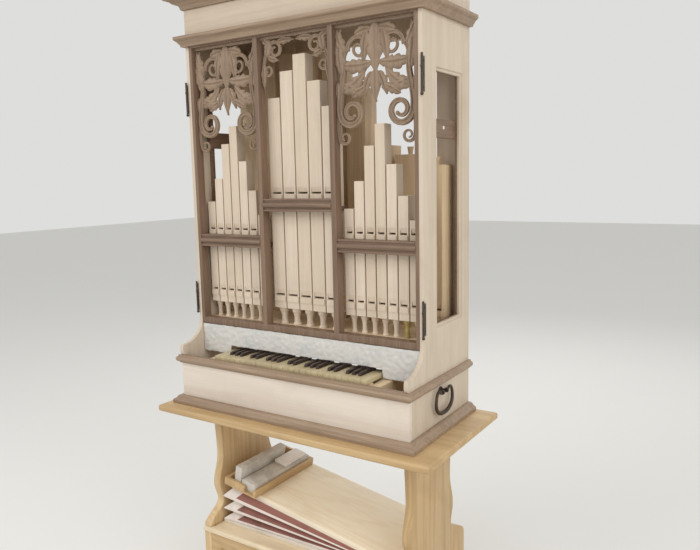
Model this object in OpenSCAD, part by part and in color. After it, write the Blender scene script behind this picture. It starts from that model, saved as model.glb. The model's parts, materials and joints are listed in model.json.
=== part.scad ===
// Positive pipe organ with pierced screens, on a stand with a weighted wedge bellows.
// Millimetres, +Z up, front towards -Y, origin on the floor under the middle of the whole outline.

/* [Stand] */
// Height of the table top's upper face above the floor
stand_h = 760; // [700:5:820]
// Width of the table top
table_w = 1078; // [1060:2:1200]
// Depth of the table top
table_d = 518; // [490:2:600]
// Thickness of the table top
table_t = 24; // [18:1:36]
// How far the table's middle lies right of the case's middle
table_shift_x = 21; // [0:1:40]
// How far the table's front edge lies before the case's front
table_front = 170; // [150:1:200]
// Thickness of each shaped end board
end_t = 32; // [26:1:45]
// How far the table top reaches beyond the left end board
over_left = 142; // [120:2:160]
// How far the table top reaches beyond the right end board
over_right = 117; // [90:1:130]
// Distance from the table's front edge to an end board's waist
waist_back = 136; // [124:2:150]
// Depth of an end board at its waist
waist_d = 258; // [220:2:270]
// How far the bulge stands out beyond the waist, each side
bulge_out = 24; // [10:1:30]
// How far the foot spreads before the waist
foot_front = 82; // [70:1:100]
// How far the foot spreads behind the waist
foot_rear = 116; // [90:1:120]
// Height of the arch cut under each end board
arch_h = 60; // [30:1:90]
// Width of the arch cut under each end board
arch_w = 220; // [120:5:240]
// Height of the low box's lid above the floor
box_h = 312; // [280:2:330]
// Thickness of the low box's lid
lid_t = 20; // [14:1:26]
// Thickness of the low box's front and back boards
box_t = 20; // [14:1:26]

/* [Bellows] */
// Length of the bellows' top board
bellows_l = 675; // [640:5:682]
// Depth of the bellows' top board
bellows_d = 320; // [280:2:328]
// Distance from the table's front edge to the bellows' top board
bellows_back = 140; // [136:1:150]
// Thickness of the top board
bellows_top_t = 18; // [12:1:24]
// Thickness of the bottom board
bellows_bottom_t = 14; // [10:1:20]
// How far the folds stand out beyond the top board
fold_out = 30; // [15:1:34]
// Opening angle of the bellows as it stands
bellows_angle = 9.7; // [7:0.1:11]
// Distance from the right end board to the hinged end
hinge_gap = 36; // [25:1:60]
// Width of the weight tray along the bellows
tray_w = 146; // [120:1:170]
// Height of the tray's rim
tray_h = 28; // [18:1:40]
// Thickness of the tray's rim
tray_t = 12; // [8:1:20]
// How far the tray reaches before the top board and past its end
tray_over = 32; // [10:1:38]
// Height of the tall weight above the tray's floor
tall_weight_h = 74; // [50:2:90]
// Height of the low weight above the tray's floor
low_weight_h = 34; // [20:2:50]

/* [Case] */
// Width of the case
case_w = 924; // [884:4:964]
// Depth of the case behind its front
case_d = 330; // [300:5:360]
// Thickness of the case's sides
side_t = 14; // [12:1:20]
// How far the base stands before the upper case
base_front = 98; // [80:1:120]
// Height of the base with its key moulding
base_h = 176; // [150:1:200]
// Thickness of the base's front board
front_t = 18; // [12:1:24]
// Height of the side cheeks' nose above the base
cheek_h = 36; // [24:1:50]
// Height of the hollow sweep from the nose up to the case's front edge
sweep_h = 80; // [60:1:95]
// How far the cheeks' nose stands before the base
nose_out = 6; // [3:0.5:9]
// Height of the bottom moulding
foot_mould_h = 28; // [20:1:40]
// How far the bottom moulding stands out
foot_mould_out = 28; // [16:1:36]
// Height of the key moulding
key_mould_h = 28; // [20:1:36]
// How far the key moulding stands out
key_mould_out = 16; // [8:1:24]
// Height of the front frame's bottom above the table
frame_z = 277; // [262:1:290]
// Height of the architrave's bottom above the table
arch_z = 1256; // [1200:2:1300]
// Height of the architrave
arch_mould_h = 34; // [26:1:44]
// How far the architrave stands out
arch_out = 30; // [20:1:40]
// Height of the plain frieze
frieze_h = 89; // [70:1:110]
// Height of the cornice
cornice_h = 66; // [50:1:80]
// How far the cornice stands out
cornice_out = 73; // [60:1:88]
// Height of the side window's sill above the table
window_z = 341; // [320:1:380]
// Height of the side window
window_h = 758; // [700:2:780]
// Distance from the case's front to the side window
window_y = 97; // [80:1:110]
// Width of the side window
window_w = 168; // [140:1:180]
// Width of the lining round the window, inside
lining_w = 18; // [12:1:22]
// Thickness of the lining
lining_t = 8; // [6:1:12]
// Height of the inner rail's underside above the table
inner_z = 908; // [860:2:960]
// Height of the inner rail
inner_h = 56; // [40:1:70]
// Thickness of the inner rail
inner_t = 18; // [14:1:22]
// Width of the back frame's stiles
back_stile = 92; // [60:2:110]
// Height of the back frame's top rail
back_top = 118; // [80:2:130]
// Height of the back frame's other rails
back_rail = 56; // [40:2:80]

/* [Front] */
// Depth of the front frame
frame_d = 34; // [26:1:44]
// Width of the frame's outer stiles
stile_w = 13; // [11:1:24]
// Width of the two mullions
mullion_w = 18; // [15:1:26]
// Distance of each mullion's middle from the case's middle
mullion_x = 148; // [142:1:152]
// Height of the frame's bottom rail
bottom_rail_h = 22; // [18:1:28]
// Height of a cross rail
cross_h = 42; // [36:1:50]
// Bottom of the side fields' cross rails above the table
cross_side_z = 561; // [545:1:580]
// Bottom of the centre field's cross rail above the table
cross_mid_z = 687; // [670:1:700]
// Wall of the front pipes
pipe_wall = 5; // [4:0.5:6]
// Gap between neighbouring front pipes
pipe_gap = 5; // [3:0.5:8]
// Depth of the front pipes
pipe_d = 42; // [34:1:48]
// Height of the upper pipes' mouths above the cross rails
mouth_up = 15; // [12:1:30]
// Height of the turned feet under the lower pipes
foot_h = 58; // [45:1:70]
// Number of stopped pipes in the back row
rear_n = 9; // [7:1:10]
// Width of a back pipe as a share of its place
rear_share = 0.8; // [0.6:0.02:0.9]
// Depth of the back pipes
rear_d = 78; // [60:2:84]
// Length of the shortest back pipe
rear_short = 532; // [480:5:600]
// Length of the longest back pipes
rear_long = 936; // [860:4:940]

/* [Screens] */
// Thickness of the carved screens
screen_t = 14; // [10:0.5:16]
// How far the screens lie behind the frame's face
screen_in = 6; // [3:0.5:8]
// Height of the strip along a screen's top
strip_h = 8; // [6:1:14]
// Widest band of the big scrolls
band = 20; // [14:0.5:22]

/* [Keys] */
// Width of one natural key
natural_w = 23.1; // [22:0.1:23.6]
// How far the naturals' front ends lie behind the base's front
key_in = 14; // [10:1:24]
// Height of the naturals' top above the base
key_up = 12; // [6:1:16]
// Length of the keys behind the nameboard's face
key_tail = 42; // [30:1:60]
// Thickness of a natural key
natural_t = 14; // [10:1:18]
// Length of a sharp key's raised part
sharp_l = 52; // [44:1:58]
// Height of a sharp above the naturals
sharp_h = 10; // [7:0.5:14]
// Width of a sharp
sharp_w = 10; // [8:0.5:12]
// Gap round a sharp between the naturals' tails
sharp_gap = 1; // [0.6:0.1:1.6]

/* [Ironwork] */
// Radius of a hinge barrel
hinge_r = 3.6; // [3:0.1:5]
// Width of a hinge strap on the case's side
hinge_strap = 11; // [9:1:20]
// Distance from the case's front to the middle of a handle
handle_y = 108; // [90:2:140]
// Height of the handle's pins above the table
handle_z = 128; // [120:1:134]
// Width of a drop handle
handle_w = 138; // [120:2:150]
// Height of a drop handle
handle_h = 74; // [64:2:90]
// Radius of the handle's grip
handle_rod = 6.5; // [5:0.5:8]

/* [Hidden] */
$fn = 48;
fit = 0.3;
case_hw = case_w / 2;
// Heights from the floor
t0 = stand_h;
base_top = t0 + base_h;
arch_bottom = t0 + arch_z;
arch_top = arch_bottom + arch_mould_h;
frieze_top = arch_top + frieze_h;
organ_top = frieze_top + cornice_h;
// Plan of the stand
table_x0 = table_shift_x - table_w / 2;
table_x1 = table_shift_x + table_w / 2;
table_y0 = -table_front;
stand_y = table_y0 + table_d / 2;
// Inner faces of the end boards
end_l = table_x0 + over_left + end_t;
end_r = table_x1 - over_right - end_t;
// Front and back of the end boards' waist and feet
waist_y0 = table_y0 + waist_back;
waist_y1 = waist_y0 + waist_d;
foot_y0 = waist_y0 - foot_front;
foot_y1 = waist_y1 + foot_rear;
// The outline's middle, which the origin lies under
x_min = min(table_x0, -case_hw - cornice_out);
x_max = max(table_x1, case_hw + cornice_out);
shift_x = -(x_min + x_max) / 2;
shift_y = -stand_y;
// Low box of the stand: outer faces, height above the floor, lid overhang and lap over the end boards
box_y0 = foot_y0 + 2;
box_y1 = foot_y1 - 22;
box_up = 40;
box_rim = 46;
box_panel_in = 5;
lid_over = 8;
lid_lap = 30;
// Bellows
bellows_x1 = end_r - hinge_gap;
bellows_x0 = bellows_x1 - bellows_l;
bellows_y = table_y0 + bellows_back + bellows_d / 2;
bellows_z = box_h + bellows_bottom_t;
fold_levels = [[0, 1], [0.16, 0], [0.33, 1], [0.53, 0], [0.72, 1], [1, 0]];
// Front fields, as [left edge, right edge]
field_l = [-case_hw + side_t + stile_w, -mullion_x - mullion_w / 2];
field_c = [-mullion_x + mullion_w / 2, mullion_x - mullion_w / 2];
field_r = [mullion_x + mullion_w / 2, case_hw - side_t - stile_w];
frame_bottom = t0 + frame_z;
frame_sill = frame_bottom + bottom_rail_h;
side_rail_z = t0 + cross_side_z;
mid_rail_z = t0 + cross_mid_z;
pipe_y = frame_d + 6;
chest_top = frame_sill - 3;
toe_t = 14;
chest_h = 90;
back_t = 20;
top_t = 16;
floor_t = 16;
bed_t = 12;
cap_h = 44;
// Lengths of the upper pipes above the cross rails, left to right
lengths_l = [115, 196, 316, 376, 254, 153, 68];
lengths_c = [330, 412, 460, 372, 290];
lengths_r = [93, 179, 286, 350, 228, 133, 60];
// Key bed and keys
keys_n = 27;
keys_hw = keys_n * natural_w / 2;
key_front = -base_front + key_in;
key_top = base_top + key_up;
key_bottom = key_top - natural_t;
name_y = 0;
name_t = 8;

// Moves a piece from the case's frame to the origin under the outline's middle.
module placed() {
    translate([shift_x, shift_y, 0]) children();
}

// A board with all four long edges rounded by two crossing profiles.
module nosed_board(x0, x1, y0, y1, z0, t, r) {
    module rounded(a, b) {
        translate([a + r, -t / 2]) square([b - a - 2 * r, t]);
        translate([a, -t / 2 + r]) square([b - a, t - 2 * r]);
        for (x = [a + r, b - r], z = [-t / 2 + r, t / 2 - r]) translate([x, z]) circle(r);
    }
    intersection() {
        translate([0, y1, z0 + t / 2]) rotate([90, 0, 0]) linear_extrude(y1 - y0) rounded(x0, x1);
        translate([x0, 0, z0 + t / 2]) rotate([90, 0, 90]) linear_extrude(x1 - x0) rounded(y0, y1);
    }
}

// A moulding that runs round the front and both sides of a body, mitred at the front corners.
// Its profile is drawn with x outwards from the body's face and y upwards.
module run_round(hw, y_front, y_back, z, reach) {
    far = hw + reach + 10;
    front = y_front - reach - 10;
    module corner_side(s) {
        polygon([[s * hw, y_front], [s * far, y_front - (far - hw)], [s * far, y_back], [s * hw, y_back]]);
    }
    intersection() {
        translate([-far, y_front, z]) rotate([90, 0, 90]) mirror([1, 0, 0])
            linear_extrude(2 * far) children();
        translate([0, 0, z - 500]) linear_extrude(1000) polygon([[-hw, y_front], [hw, y_front],
            [far, y_front - (far - hw)], [-far, y_front - (far - hw)]]);
    }
    for (s = [-1, 1]) intersection() {
        translate([s * hw, y_back, z]) rotate([90, 0, 0]) mirror([s < 0 ? 1 : 0, 0, 0])
            linear_extrude(y_back - front) children();
        translate([0, 0, z - 500]) linear_extrude(1000) corner_side(s);
    }
}

// Stand

module stand_top() {
    color("burlywood") placed()
        nosed_board(table_x0, table_x1, table_y0, table_y0 + table_d, t0 - table_t, table_t, table_t * 0.3);
}

// Reach of an end board's edge beyond its waist at a height, from stations joined by smooth steps.
function stations(foot) = [[0, foot], [box_h, foot], [box_h + 75, bulge_out * 0.3], [box_h + 138, bulge_out],
    [box_h + 248, 0], [stand_h - table_t, 8]];
function ease(u) = (1 - cos(180 * u)) / 2;
function along(st, z, i = 0) = z <= st[i + 1][0] || i == len(st) - 2
    ? st[i][1] + (st[i + 1][1] - st[i][1]) * ease((z - st[i][0]) / (st[i + 1][0] - st[i][0]))
    : along(st, z, i + 1);

module end_outline() {
    top = stand_h - table_t;
    steps = 30;
    heights = concat([0], [for (i = [0:steps]) box_h + (top - box_h) * i / steps]);
    rear = [for (z = heights) [waist_y1 + along(stations(foot_rear), z), z]];
    front = [for (i = [len(heights) - 1:-1:0]) let (z = heights[i])
        [waist_y0 - along(stations(foot_front), z), z]];
    mid = (foot_y0 + foot_y1) / 2;
    difference() {
        polygon(concat(rear, front));
        intersection() {
            translate([mid - arch_w / 2, -1]) square([arch_w, arch_h + 1]);
            translate([mid, arch_h - arch_w * 0.75]) circle(arch_w * 0.75, $fn = 96);
        }
        translate([foot_y0 - 20, box_h - lid_t - fit])
            square([20 + box_y0 - foot_y0 - lid_over + lid_lap + fit, lid_t + 2 * fit]);
    }
}

module stand_end(side) {
    x = side < 0 ? end_l - end_t : end_r;
    color("burlywood") placed() translate([x, 0, 0]) rotate([90, 0, 90]) linear_extrude(end_t) end_outline();
}

module stand_end_left() { stand_end(-1); }
module stand_end_right() { stand_end(1); }

module stand_box_board(side) {
    y = side < 0 ? box_y0 : box_y1 - box_t;
    face = side < 0 ? y : y + box_t;
    h = box_h - lid_t - box_up;
    color("tan") placed() difference() {
        translate([end_l, y, box_up]) cube([end_r - end_l, box_t, h]);
        translate([end_l + box_rim, face - box_panel_in, box_up + box_rim])
            cube([end_r - end_l - 2 * box_rim, 2 * box_panel_in, h - 2 * box_rim]);
    }
}

module stand_box_front() { stand_box_board(-1); }
module stand_box_back() { stand_box_board(1); }

// Lid of the box; its front edge laps over notches in the end boards.
module stand_box_lid() {
    y = box_y0 - lid_over;
    r = lid_t * 0.45;
    color("wheat") placed() {
        nosed_board(end_l, end_r, y, box_y1 + lid_over, box_h - lid_t, lid_t, r);
        nosed_board(end_l - end_t, end_r + end_t, y, y + lid_lap, box_h - lid_t, lid_t, r);
    }
}

// Bellows

module bellows_bottom_board() {
    color("whitesmoke") placed()
        translate([bellows_x0 - fold_out, bellows_y - bellows_d / 2 - fold_out, box_h])
        cube([bellows_l + fold_out + 6, bellows_d + 2 * fold_out, bellows_bottom_t]);
}

// One ring of the folds' skin: four corners at a share of the wedge's height.
function fold_ring(level, reach) = let (
    o = fold_out * reach,
    slope = tan(bellows_angle),
    z = function (x) bellows_z + fit + level * ((bellows_x1 - x) * slope - 2 * fit),
    xl = bellows_x0 - o,
    xr = bellows_x1 - 24,
    or = o * 0.35,
    yf = bellows_y - bellows_d / 2,
    yb = bellows_y + bellows_d / 2
) [[xl, yf - o, z(xl)], [xr, yf - or, z(xr)], [xr, yb + or, z(xr)], [xl, yb + o, z(xl)]];

module bellows_folds() {
    n = len(fold_levels);
    rings = [for (f = fold_levels) each fold_ring(f[0], f[1])];
    sides = [for (k = [0:n - 2], i = [0:3]) let (j = (i + 1) % 4)
        [k * 4 + i, k * 4 + 4 + i, k * 4 + 4 + j, k * 4 + j]];
    color("indianred") placed() polyhedron(points = rings,
        faces = concat([[0, 1, 2, 3]], sides, [[for (i = [3:-1:0]) (n - 1) * 4 + i]]), convexity = 6);
}

// Places a piece drawn flat, hinge end at x = 0 and growing towards -x, at the bellows' angle.
module on_bellows() {
    placed() translate([bellows_x1, bellows_y, bellows_z]) rotate([0, bellows_angle, 0]) children();
}

module bellows_top_board() {
    color("wheat") on_bellows() translate([-bellows_l, -bellows_d / 2, fit])
        cube([bellows_l - 8, bellows_d, bellows_top_t]);
}

// Tray for the weights: a floor and four rims, the front one open at its right end.
tray_x = -bellows_l - tray_over;
tray_y0 = -bellows_d / 2 - tray_over;
tray_y1 = bellows_d / 2 - 6;
tray_l = tray_y1 - tray_y0;
tray_floor = 6;
tray_z = bellows_top_t + 2 * fit;

module weight_tray() {
    color("goldenrod") on_bellows() translate([tray_x, tray_y0, tray_z]) difference() {
        cube([tray_w, tray_l, tray_h]);
        translate([tray_t, tray_t, tray_floor]) cube([tray_w - 2 * tray_t, tray_l - 2 * tray_t, tray_h]);
        translate([tray_w * 0.64, -1, tray_floor]) cube([tray_w * 0.36 - tray_t, tray_t + 2, tray_h]);
    }
}

module bellows_weights() {
    z = tray_z + tray_floor + fit;
    room = tray_w - 2 * tray_t;
    thick = room * 0.24;
    low_x = thick + room * 0.22;
    long = tray_l - 2 * tray_t - 4;
    color("gray") on_bellows() translate([tray_x + tray_t, tray_y0 + tray_t + 2, z]) {
        translate([room * 0.18, 0, 0]) cube([thick, long * 0.8, tall_weight_h]);
        translate([low_x, 0, 0]) cube([room - low_x - 2, long, low_weight_h]);
        translate([low_x + 4, long * 0.56, low_weight_h + fit]) cube([room - low_x - 12, long * 0.4, 12]);
    }
}

// Base

module foot_profile() {
    h = foot_mould_h;
    o = foot_mould_out;
    difference() {
        polygon([[0, 0], [o, 0], [o, h * 0.45], [o * 0.45, h * 0.95], [o * 0.2, h], [0, h]]);
        translate([o * 1.02, h * 1.02]) circle(h * 0.5);
    }
}

module base_moulding() {
    color("saddlebrown") placed()
        run_round(case_hw, -base_front, case_d, t0, foot_mould_out) foot_profile();
}

module base_front_board() {
    color("antiquewhite") placed() translate([-case_hw, -base_front, t0])
        cube([case_w, front_t, base_h - key_mould_h]);
}

module key_profile() {
    h = key_mould_h;
    o = key_mould_out;
    square([o - h * 0.36, h]);
    translate([o - h * 0.36, h * 0.5]) circle(h * 0.36);
    translate([0, h * 0.8]) square([o * 0.55, h * 0.2]);
}

module key_moulding() {
    color("saddlebrown") placed() {
        run_round(case_hw, -base_front, case_d, base_top - key_mould_h, key_mould_out) key_profile();
        translate([-case_hw + side_t, -base_front, base_top - key_mould_h])
            cube([case_w - 2 * side_t, key_front + base_front - 3, key_mould_h]);
    }
}

module case_floor() {
    color("tan") placed() translate([-case_hw + side_t, -base_front + front_t, t0])
        cube([case_w - 2 * side_t, case_d + base_front - front_t, floor_t]);
}

module key_bed() {
    color("tan") placed() translate([-case_hw + side_t, -base_front + front_t, t0 + floor_t])
        cube([case_w - 2 * side_t, case_d + base_front - front_t - back_t, bed_t]);
}

// Sharps after naturals E F | F# G | ... in a bass octave that starts at E.
function has_sharp(i) = let (k = (i + 2) % 7)
    i >= 0 && i < keys_n - 1 && (k == 0 || k == 1 || k == 3 || k == 4 || k == 5);

// Naturals: a broad head before the sharps, a narrower tail between them.
module natural_keys() {
    cut = sharp_w / 2 + sharp_gap;
    color("khaki") placed() for (i = [0:keys_n - 1]) {
        x0 = -keys_hw + i * natural_w;
        left = has_sharp(i - 1) ? cut : 0.5;
        right = has_sharp(i) ? cut : 0.5;
        translate([0, 0, key_bottom]) linear_extrude(natural_t) polygon([[x0 + 0.5, key_front],
            [x0 + natural_w - 0.5, key_front], [x0 + natural_w - 0.5, name_y - sharp_l - sharp_gap],
            [x0 + natural_w - right, name_y - sharp_l - sharp_gap],
            [x0 + natural_w - right, name_y + key_tail], [x0 + left, name_y + key_tail],
            [x0 + left, name_y - sharp_l - sharp_gap],
            [x0 + 0.5, name_y - sharp_l - sharp_gap]]);
    }
}

// Sharps stand between the naturals' tails and rise above them with a sloped front.
module sharp_keys() {
    top = natural_t + sharp_h;
    color("black") placed() for (i = [0:keys_n - 2]) if (has_sharp(i))
        translate([-keys_hw + (i + 1) * natural_w - sharp_w / 2, name_y - sharp_l, key_bottom])
            rotate([90, 0, 90]) linear_extrude(sharp_w)
                polygon([[0, 0], [sharp_l + key_tail, 0], [sharp_l + key_tail, top], [6, top], [1.5, top - 3],
                    [0, natural_t]]);
}

block_w = 34;
block_in = 6;
rail_w = 20;

// End blocks beside the keys and the two rails the keys lie on
module key_rails() {
    bed = t0 + floor_t + bed_t;
    y = key_front + 6;
    color("wheat") placed() {
        for (s = [-1, 1]) translate([s < 0 ? -keys_hw - 4 - block_w : keys_hw + 4, y, bed])
            cube([block_w, name_y + key_tail - 10 - y, base_top - block_in - bed]);
        for (yr = [key_front + 12, name_y + 8]) translate([-keys_hw - 4, yr, bed])
            cube([2 * keys_hw + 8, rail_w, key_bottom - fit - bed]);
    }
}

// The board stands on the end blocks and leaves a slot for the keys.
module nameboard() {
    low = base_top - block_in + fit;
    slot_top = key_top + sharp_h + 4;
    slot_hw = keys_hw + 2;
    color("lightsteelblue") placed() difference() {
        translate([-case_hw + side_t, name_y, low]) cube([case_w - 2 * side_t, name_t, frame_bottom - low]);
        translate([-slot_hw, name_y - 1, low - 1]) cube([2 * slot_hw, name_t + 2, slot_top - low + 1]);
    }
}

// Case

// Side board in its own plane: y to the right, z upwards. A nosed cheek sweeps up to the case's front.
module side_outline() {
    z_low = base_top - key_mould_h;
    z_nose = base_top + cheek_h;
    n = 14;
    sweep = [for (i = [0:n]) let (a = 90 * i / n)
        [-base_front + base_front * cos(a), z_nose + sweep_h * (1 - sin(a))]];
    nose = [for (i = [1:8]) let (a = 180 * i / 8)
        [-base_front - nose_out * sin(a), z_nose - cheek_h * (1 - cos(a)) / 2]];
    polygon(concat([[case_d, t0], [case_d, frieze_top], [front_t, frieze_top], [front_t, arch_bottom],
        [0, arch_bottom]], sweep, nose,
        [[-base_front, z_low], [-base_front + front_t, z_low], [-base_front + front_t, t0]]));
}

module case_side(side) {
    x = side < 0 ? -case_hw : case_hw - side_t;
    color("antiquewhite") placed() difference() {
        translate([x, 0, 0]) rotate([90, 0, 90]) linear_extrude(side_t) difference() {
            side_outline();
            translate([window_y, t0 + window_z]) square([window_w, window_h]);
        }
        translate([side < 0 ? x - 1 : x + side_t - 5, window_y - 9, t0 + window_z - 9])
            cube([6, window_w + 18, window_h + 18]);
    }
}

module case_side_left() { case_side(-1); }
module case_side_right() { case_side(1); }

module back_frame() {
    low = t0 + floor_t;
    high = frieze_top - top_t;
    x = case_hw - side_t;
    color("tan") placed() translate([0, case_d, 0]) rotate([90, 0, 0]) linear_extrude(back_t) {
        for (s = [-1, 1]) translate([s < 0 ? -x : x - back_stile, low]) square([back_stile, high - low]);
        for (r = [[low, back_rail], [frame_bottom - 20, back_rail], [mid_rail_z, back_rail],
            [high - back_top, back_top]])
            translate([-x, r[0]]) square([2 * x, r[1]]);
    }
}

module front_frame() {
    color("sienna") placed() translate([0, frame_d, 0]) rotate([90, 0, 0]) linear_extrude(frame_d)
        difference() {
            translate([-case_hw + side_t, frame_bottom])
                square([case_w - 2 * side_t, arch_top - frame_bottom]);
            for (f = [field_l, field_c, field_r])
                translate([f[0], frame_sill]) square([f[1] - f[0], screen_top - frame_sill]);
        }
}

// Moulded rail: a flat with a round nose and two small fillets.
module rail_profile(h, d) {
    translate([0, 0]) square([d, h]);
    translate([-4, h * 0.86]) square([6, h * 0.14]);
    translate([-4, 0]) square([6, h * 0.14]);
    translate([0, h * 0.5]) circle(h * 0.22);
}

module cross_rails() {
    color("sienna") placed() for (f = [[field_l, side_rail_z], [field_c, mid_rail_z], [field_r, side_rail_z]])
        translate([f[0][0], 6, f[1]]) rotate([90, 0, 90]) linear_extrude(f[0][1] - f[0][0])
            rail_profile(cross_h, frame_d - 8);
}

module arch_profile() {
    h = arch_mould_h;
    o = arch_out;
    difference() {
        union() {
            polygon([[0, 0], [o * 0.4, 0], [o * 0.45, h * 0.2], [o, h * 0.72], [o, h], [0, h]]);
        }
        translate([o * 0.98, h * 0.26]) circle(h * 0.34);
    }
}

module architrave() {
    color("saddlebrown") placed() run_round(case_hw, 0, case_d, arch_bottom, arch_out) arch_profile();
}

module frieze() {
    color("antiquewhite") placed() translate([-case_hw, 0, arch_top]) cube([case_w, front_t, frieze_h]);
}

module cornice_profile() {
    h = cornice_h;
    o = cornice_out;
    difference() {
        polygon([[-side_t, 0], [o * 0.1, 0], [o * 0.16, h * 0.2], [o * 0.62, h * 0.42], [o * 0.9, h * 0.72],
            [o, h * 0.75], [o, h], [-side_t, h]]);
        translate([o * 0.66, h * 0.1]) circle(h * 0.36);
    }
}

module cornice() {
    color("saddlebrown") placed()
        run_round(case_hw, 0, case_d, frieze_top, cornice_out) cornice_profile();
}

// Board over the case, with a shallow box above it that carries and closes the cornice.
module case_top() {
    color("tan") placed() {
        translate([-case_hw + side_t, front_t, frieze_top - top_t])
            cube([case_w - 2 * side_t, case_d - front_t, top_t]);
        translate([-case_hw + side_t, side_t, organ_top - top_t])
            cube([case_w - 2 * side_t, case_d - side_t, top_t]);
        translate([-case_hw + side_t, case_d - back_t, frieze_top])
            cube([case_w - 2 * side_t, back_t, cornice_h - top_t]);
    }
}

// Wind chest and pipes

module wind_chest() {
    color("tan") placed() translate([-case_hw + side_t, frame_d, chest_top - chest_h])
        cube([case_w - 2 * side_t, case_d - frame_d - back_t, chest_h]);
}

module toe_boards() {
    color("tan") placed() for (f = [[field_l, side_rail_z], [field_c, mid_rail_z], [field_r, side_rail_z]])
        translate([f[0][0] - 4, frame_d, f[1] + 2])
            cube([f[0][1] - f[0][0] + 8, pipe_y - frame_d + pipe_d, toe_t]);
}

// Square wooden pipe: closed foot block, cap with a cut-up mouth at the front, hollow and open above.
module wooden_pipe(w, d, h, mouth) {
    difference() {
        cube([w, d, h]);
        translate([pipe_wall, pipe_wall, mouth]) cube([w - 2 * pipe_wall, d - 2 * pipe_wall, h]);
        translate([pipe_wall, -1, mouth]) cube([w - 2 * pipe_wall, pipe_wall + 2, 6]);
        translate([pipe_wall, 0, mouth + 6]) rotate([90, 0, 90]) linear_extrude(w - 2 * pipe_wall)
            polygon([[-1, -1], [pipe_wall - 1, -1], [0, 16], [-1, 16]]);
    }
    translate([2, -3, mouth - 20]) cube([w - 4, 3, 19]);
}

module turned_foot(r, h) {
    rotate_extrude() polygon([[0, 0], [r * 0.84, 0], [r * 0.84, h * 0.06], [r * 0.64, h * 0.16],
        [r * 0.6, h * 0.45], [r * 0.74, h * 0.68], [r, h * 0.82], [r, h], [0, h]]);
}

function pitch(f, n) = (f[1] - f[0] - pipe_gap) / n;

module upper_pipes(f, lengths, rail_z, tint) {
    n = len(lengths);
    p = pitch(f, n);
    rise = cross_h - 2 - toe_t;
    color(tint) placed() for (i = [0:n - 1])
        translate([f[0] + pipe_gap + i * p, pipe_y, rail_z + 2 + toe_t])
            wooden_pipe(p - pipe_gap, pipe_d, lengths[i] + rise, rise + mouth_up);
}

module lower_pipes(f, n, rail_z, tint) {
    p = pitch(f, n);
    z = chest_top + foot_h;
    w = p - pipe_gap;
    color(tint) placed() for (i = [0:n - 1]) translate([f[0] + pipe_gap + i * p, pipe_y, z]) {
        wooden_pipe(w, pipe_d, rail_z - z, cap_h);
        translate([w / 2, pipe_d / 2, -foot_h]) turned_foot(w * 0.34, foot_h);
    }
}

module upper_pipes_left() { upper_pipes(field_l, lengths_l, side_rail_z, "linen"); }
module upper_pipes_centre() { upper_pipes(field_c, lengths_c, mid_rail_z, "linen"); }
module upper_pipes_right() { upper_pipes(field_r, lengths_r, side_rail_z, "linen"); }
module lower_pipes_left() { lower_pipes(field_l, 7, side_rail_z, "linen"); }
module lower_pipes_centre() { lower_pipes(field_c, 5, mid_rail_z, "linen"); }
module lower_pipes_right() { lower_pipes(field_r, 7, side_rail_z, "linen"); }

rear_fall = [0, 0, 0, 0, 0.1, 0.35, 0.83, 0.91, 1, 1];
rear_edge = 22;
stopper_h = 36;
knob_h = 26;

// Stopped pipes at the back: each closed by a stopper with a knob.
module rear_pipes() {
    p = (case_w - 2 * side_t - 2 * rear_edge) / rear_n;
    w = p * rear_share;
    y = case_d - back_t - rear_d - 10;
    room = pipe_wall + fit;
    color("peru") placed() for (i = [0:rear_n - 1]) {
        h = rear_long - (rear_long - rear_short) * rear_fall[i];
        translate([-case_hw + side_t + rear_edge + (i + 0.5) * p - w / 2, y, chest_top]) {
            wooden_pipe(w, rear_d, h, 60);
            translate([room, room, h - stopper_h]) cube([w - 2 * room, rear_d - 2 * room, stopper_h]);
            translate([w / 2, rear_d / 2, h]) cylinder(r1 = 7, r2 = 11, h = knob_h);
        }
    }
}

// Lining round each window and a rail across it, on the sides' inner faces
module inner_rails() {
    x = case_hw - side_t;
    y = window_y - 2 * lining_w;
    color("saddlebrown") placed() for (s = [-1, 1]) {
        translate([s < 0 ? -x : x - lining_t, 0, 0]) rotate([90, 0, 90]) linear_extrude(lining_t)
            difference() {
                translate([window_y - lining_w, t0 + window_z - lining_w])
                    square([window_w + 2 * lining_w, window_h + 2 * lining_w]);
                translate([window_y, t0 + window_z]) square([window_w, window_h]);
            }
        translate([s < 0 ? -x + lining_t : x - lining_t - inner_t, y, t0 + inner_z])
            cube([inner_t, case_d - back_t - y, inner_h]);
    }
}

// Pierced screens. Outlines are drawn for the right half, x from the field's middle, y from the screen's top.

// Band that follows a spiral from radius r0 to r1 over a number of turns, ending at an angle.
module scroll(r0, r1, turns, width, end, hand) {
    n = round(22 * turns);
    start = end - hand * 360 * turns;
    function pt(u, o) = let (a = start + hand * 360 * turns * u, r = r0 + (r1 - r0) * u + o)
        [r * cos(a), r * sin(a)];
    function half(u) = width / 2 * (0.5 + 0.5 * u);
    polygon(concat([for (i = [0:n]) pt(i / n, half(i / n))], [for (i = [n:-1:0]) pt(i / n, -half(i / n))]));
    translate(pt(0, 0)) circle(width * 0.42);
}

function bez(p, u) = pow(1 - u, 3) * p[0] + 3 * u * pow(1 - u, 2) * p[1] + 3 * u * u * (1 - u) * p[2]
    + pow(u, 3) * p[3];
function unit(v) = v / norm(v);
function across(p, u) = let (d = unit(bez(p, min(1, u + 0.01)) - bez(p, max(0, u - 0.01)))) [-d[1], d[0]];

// Ribbon along a curve with four guide points, from width w0 to w1.
module stem(p, w0, w1) {
    n = 9;
    function edge(u, s) = bez(p, u) + s * across(p, u) * (w0 + (w1 - w0) * u) / 2;
    polygon(concat([for (i = [0:n]) edge(i / n, 1)], [for (i = [n:-1:0]) edge(i / n, -1)]));
}

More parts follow.
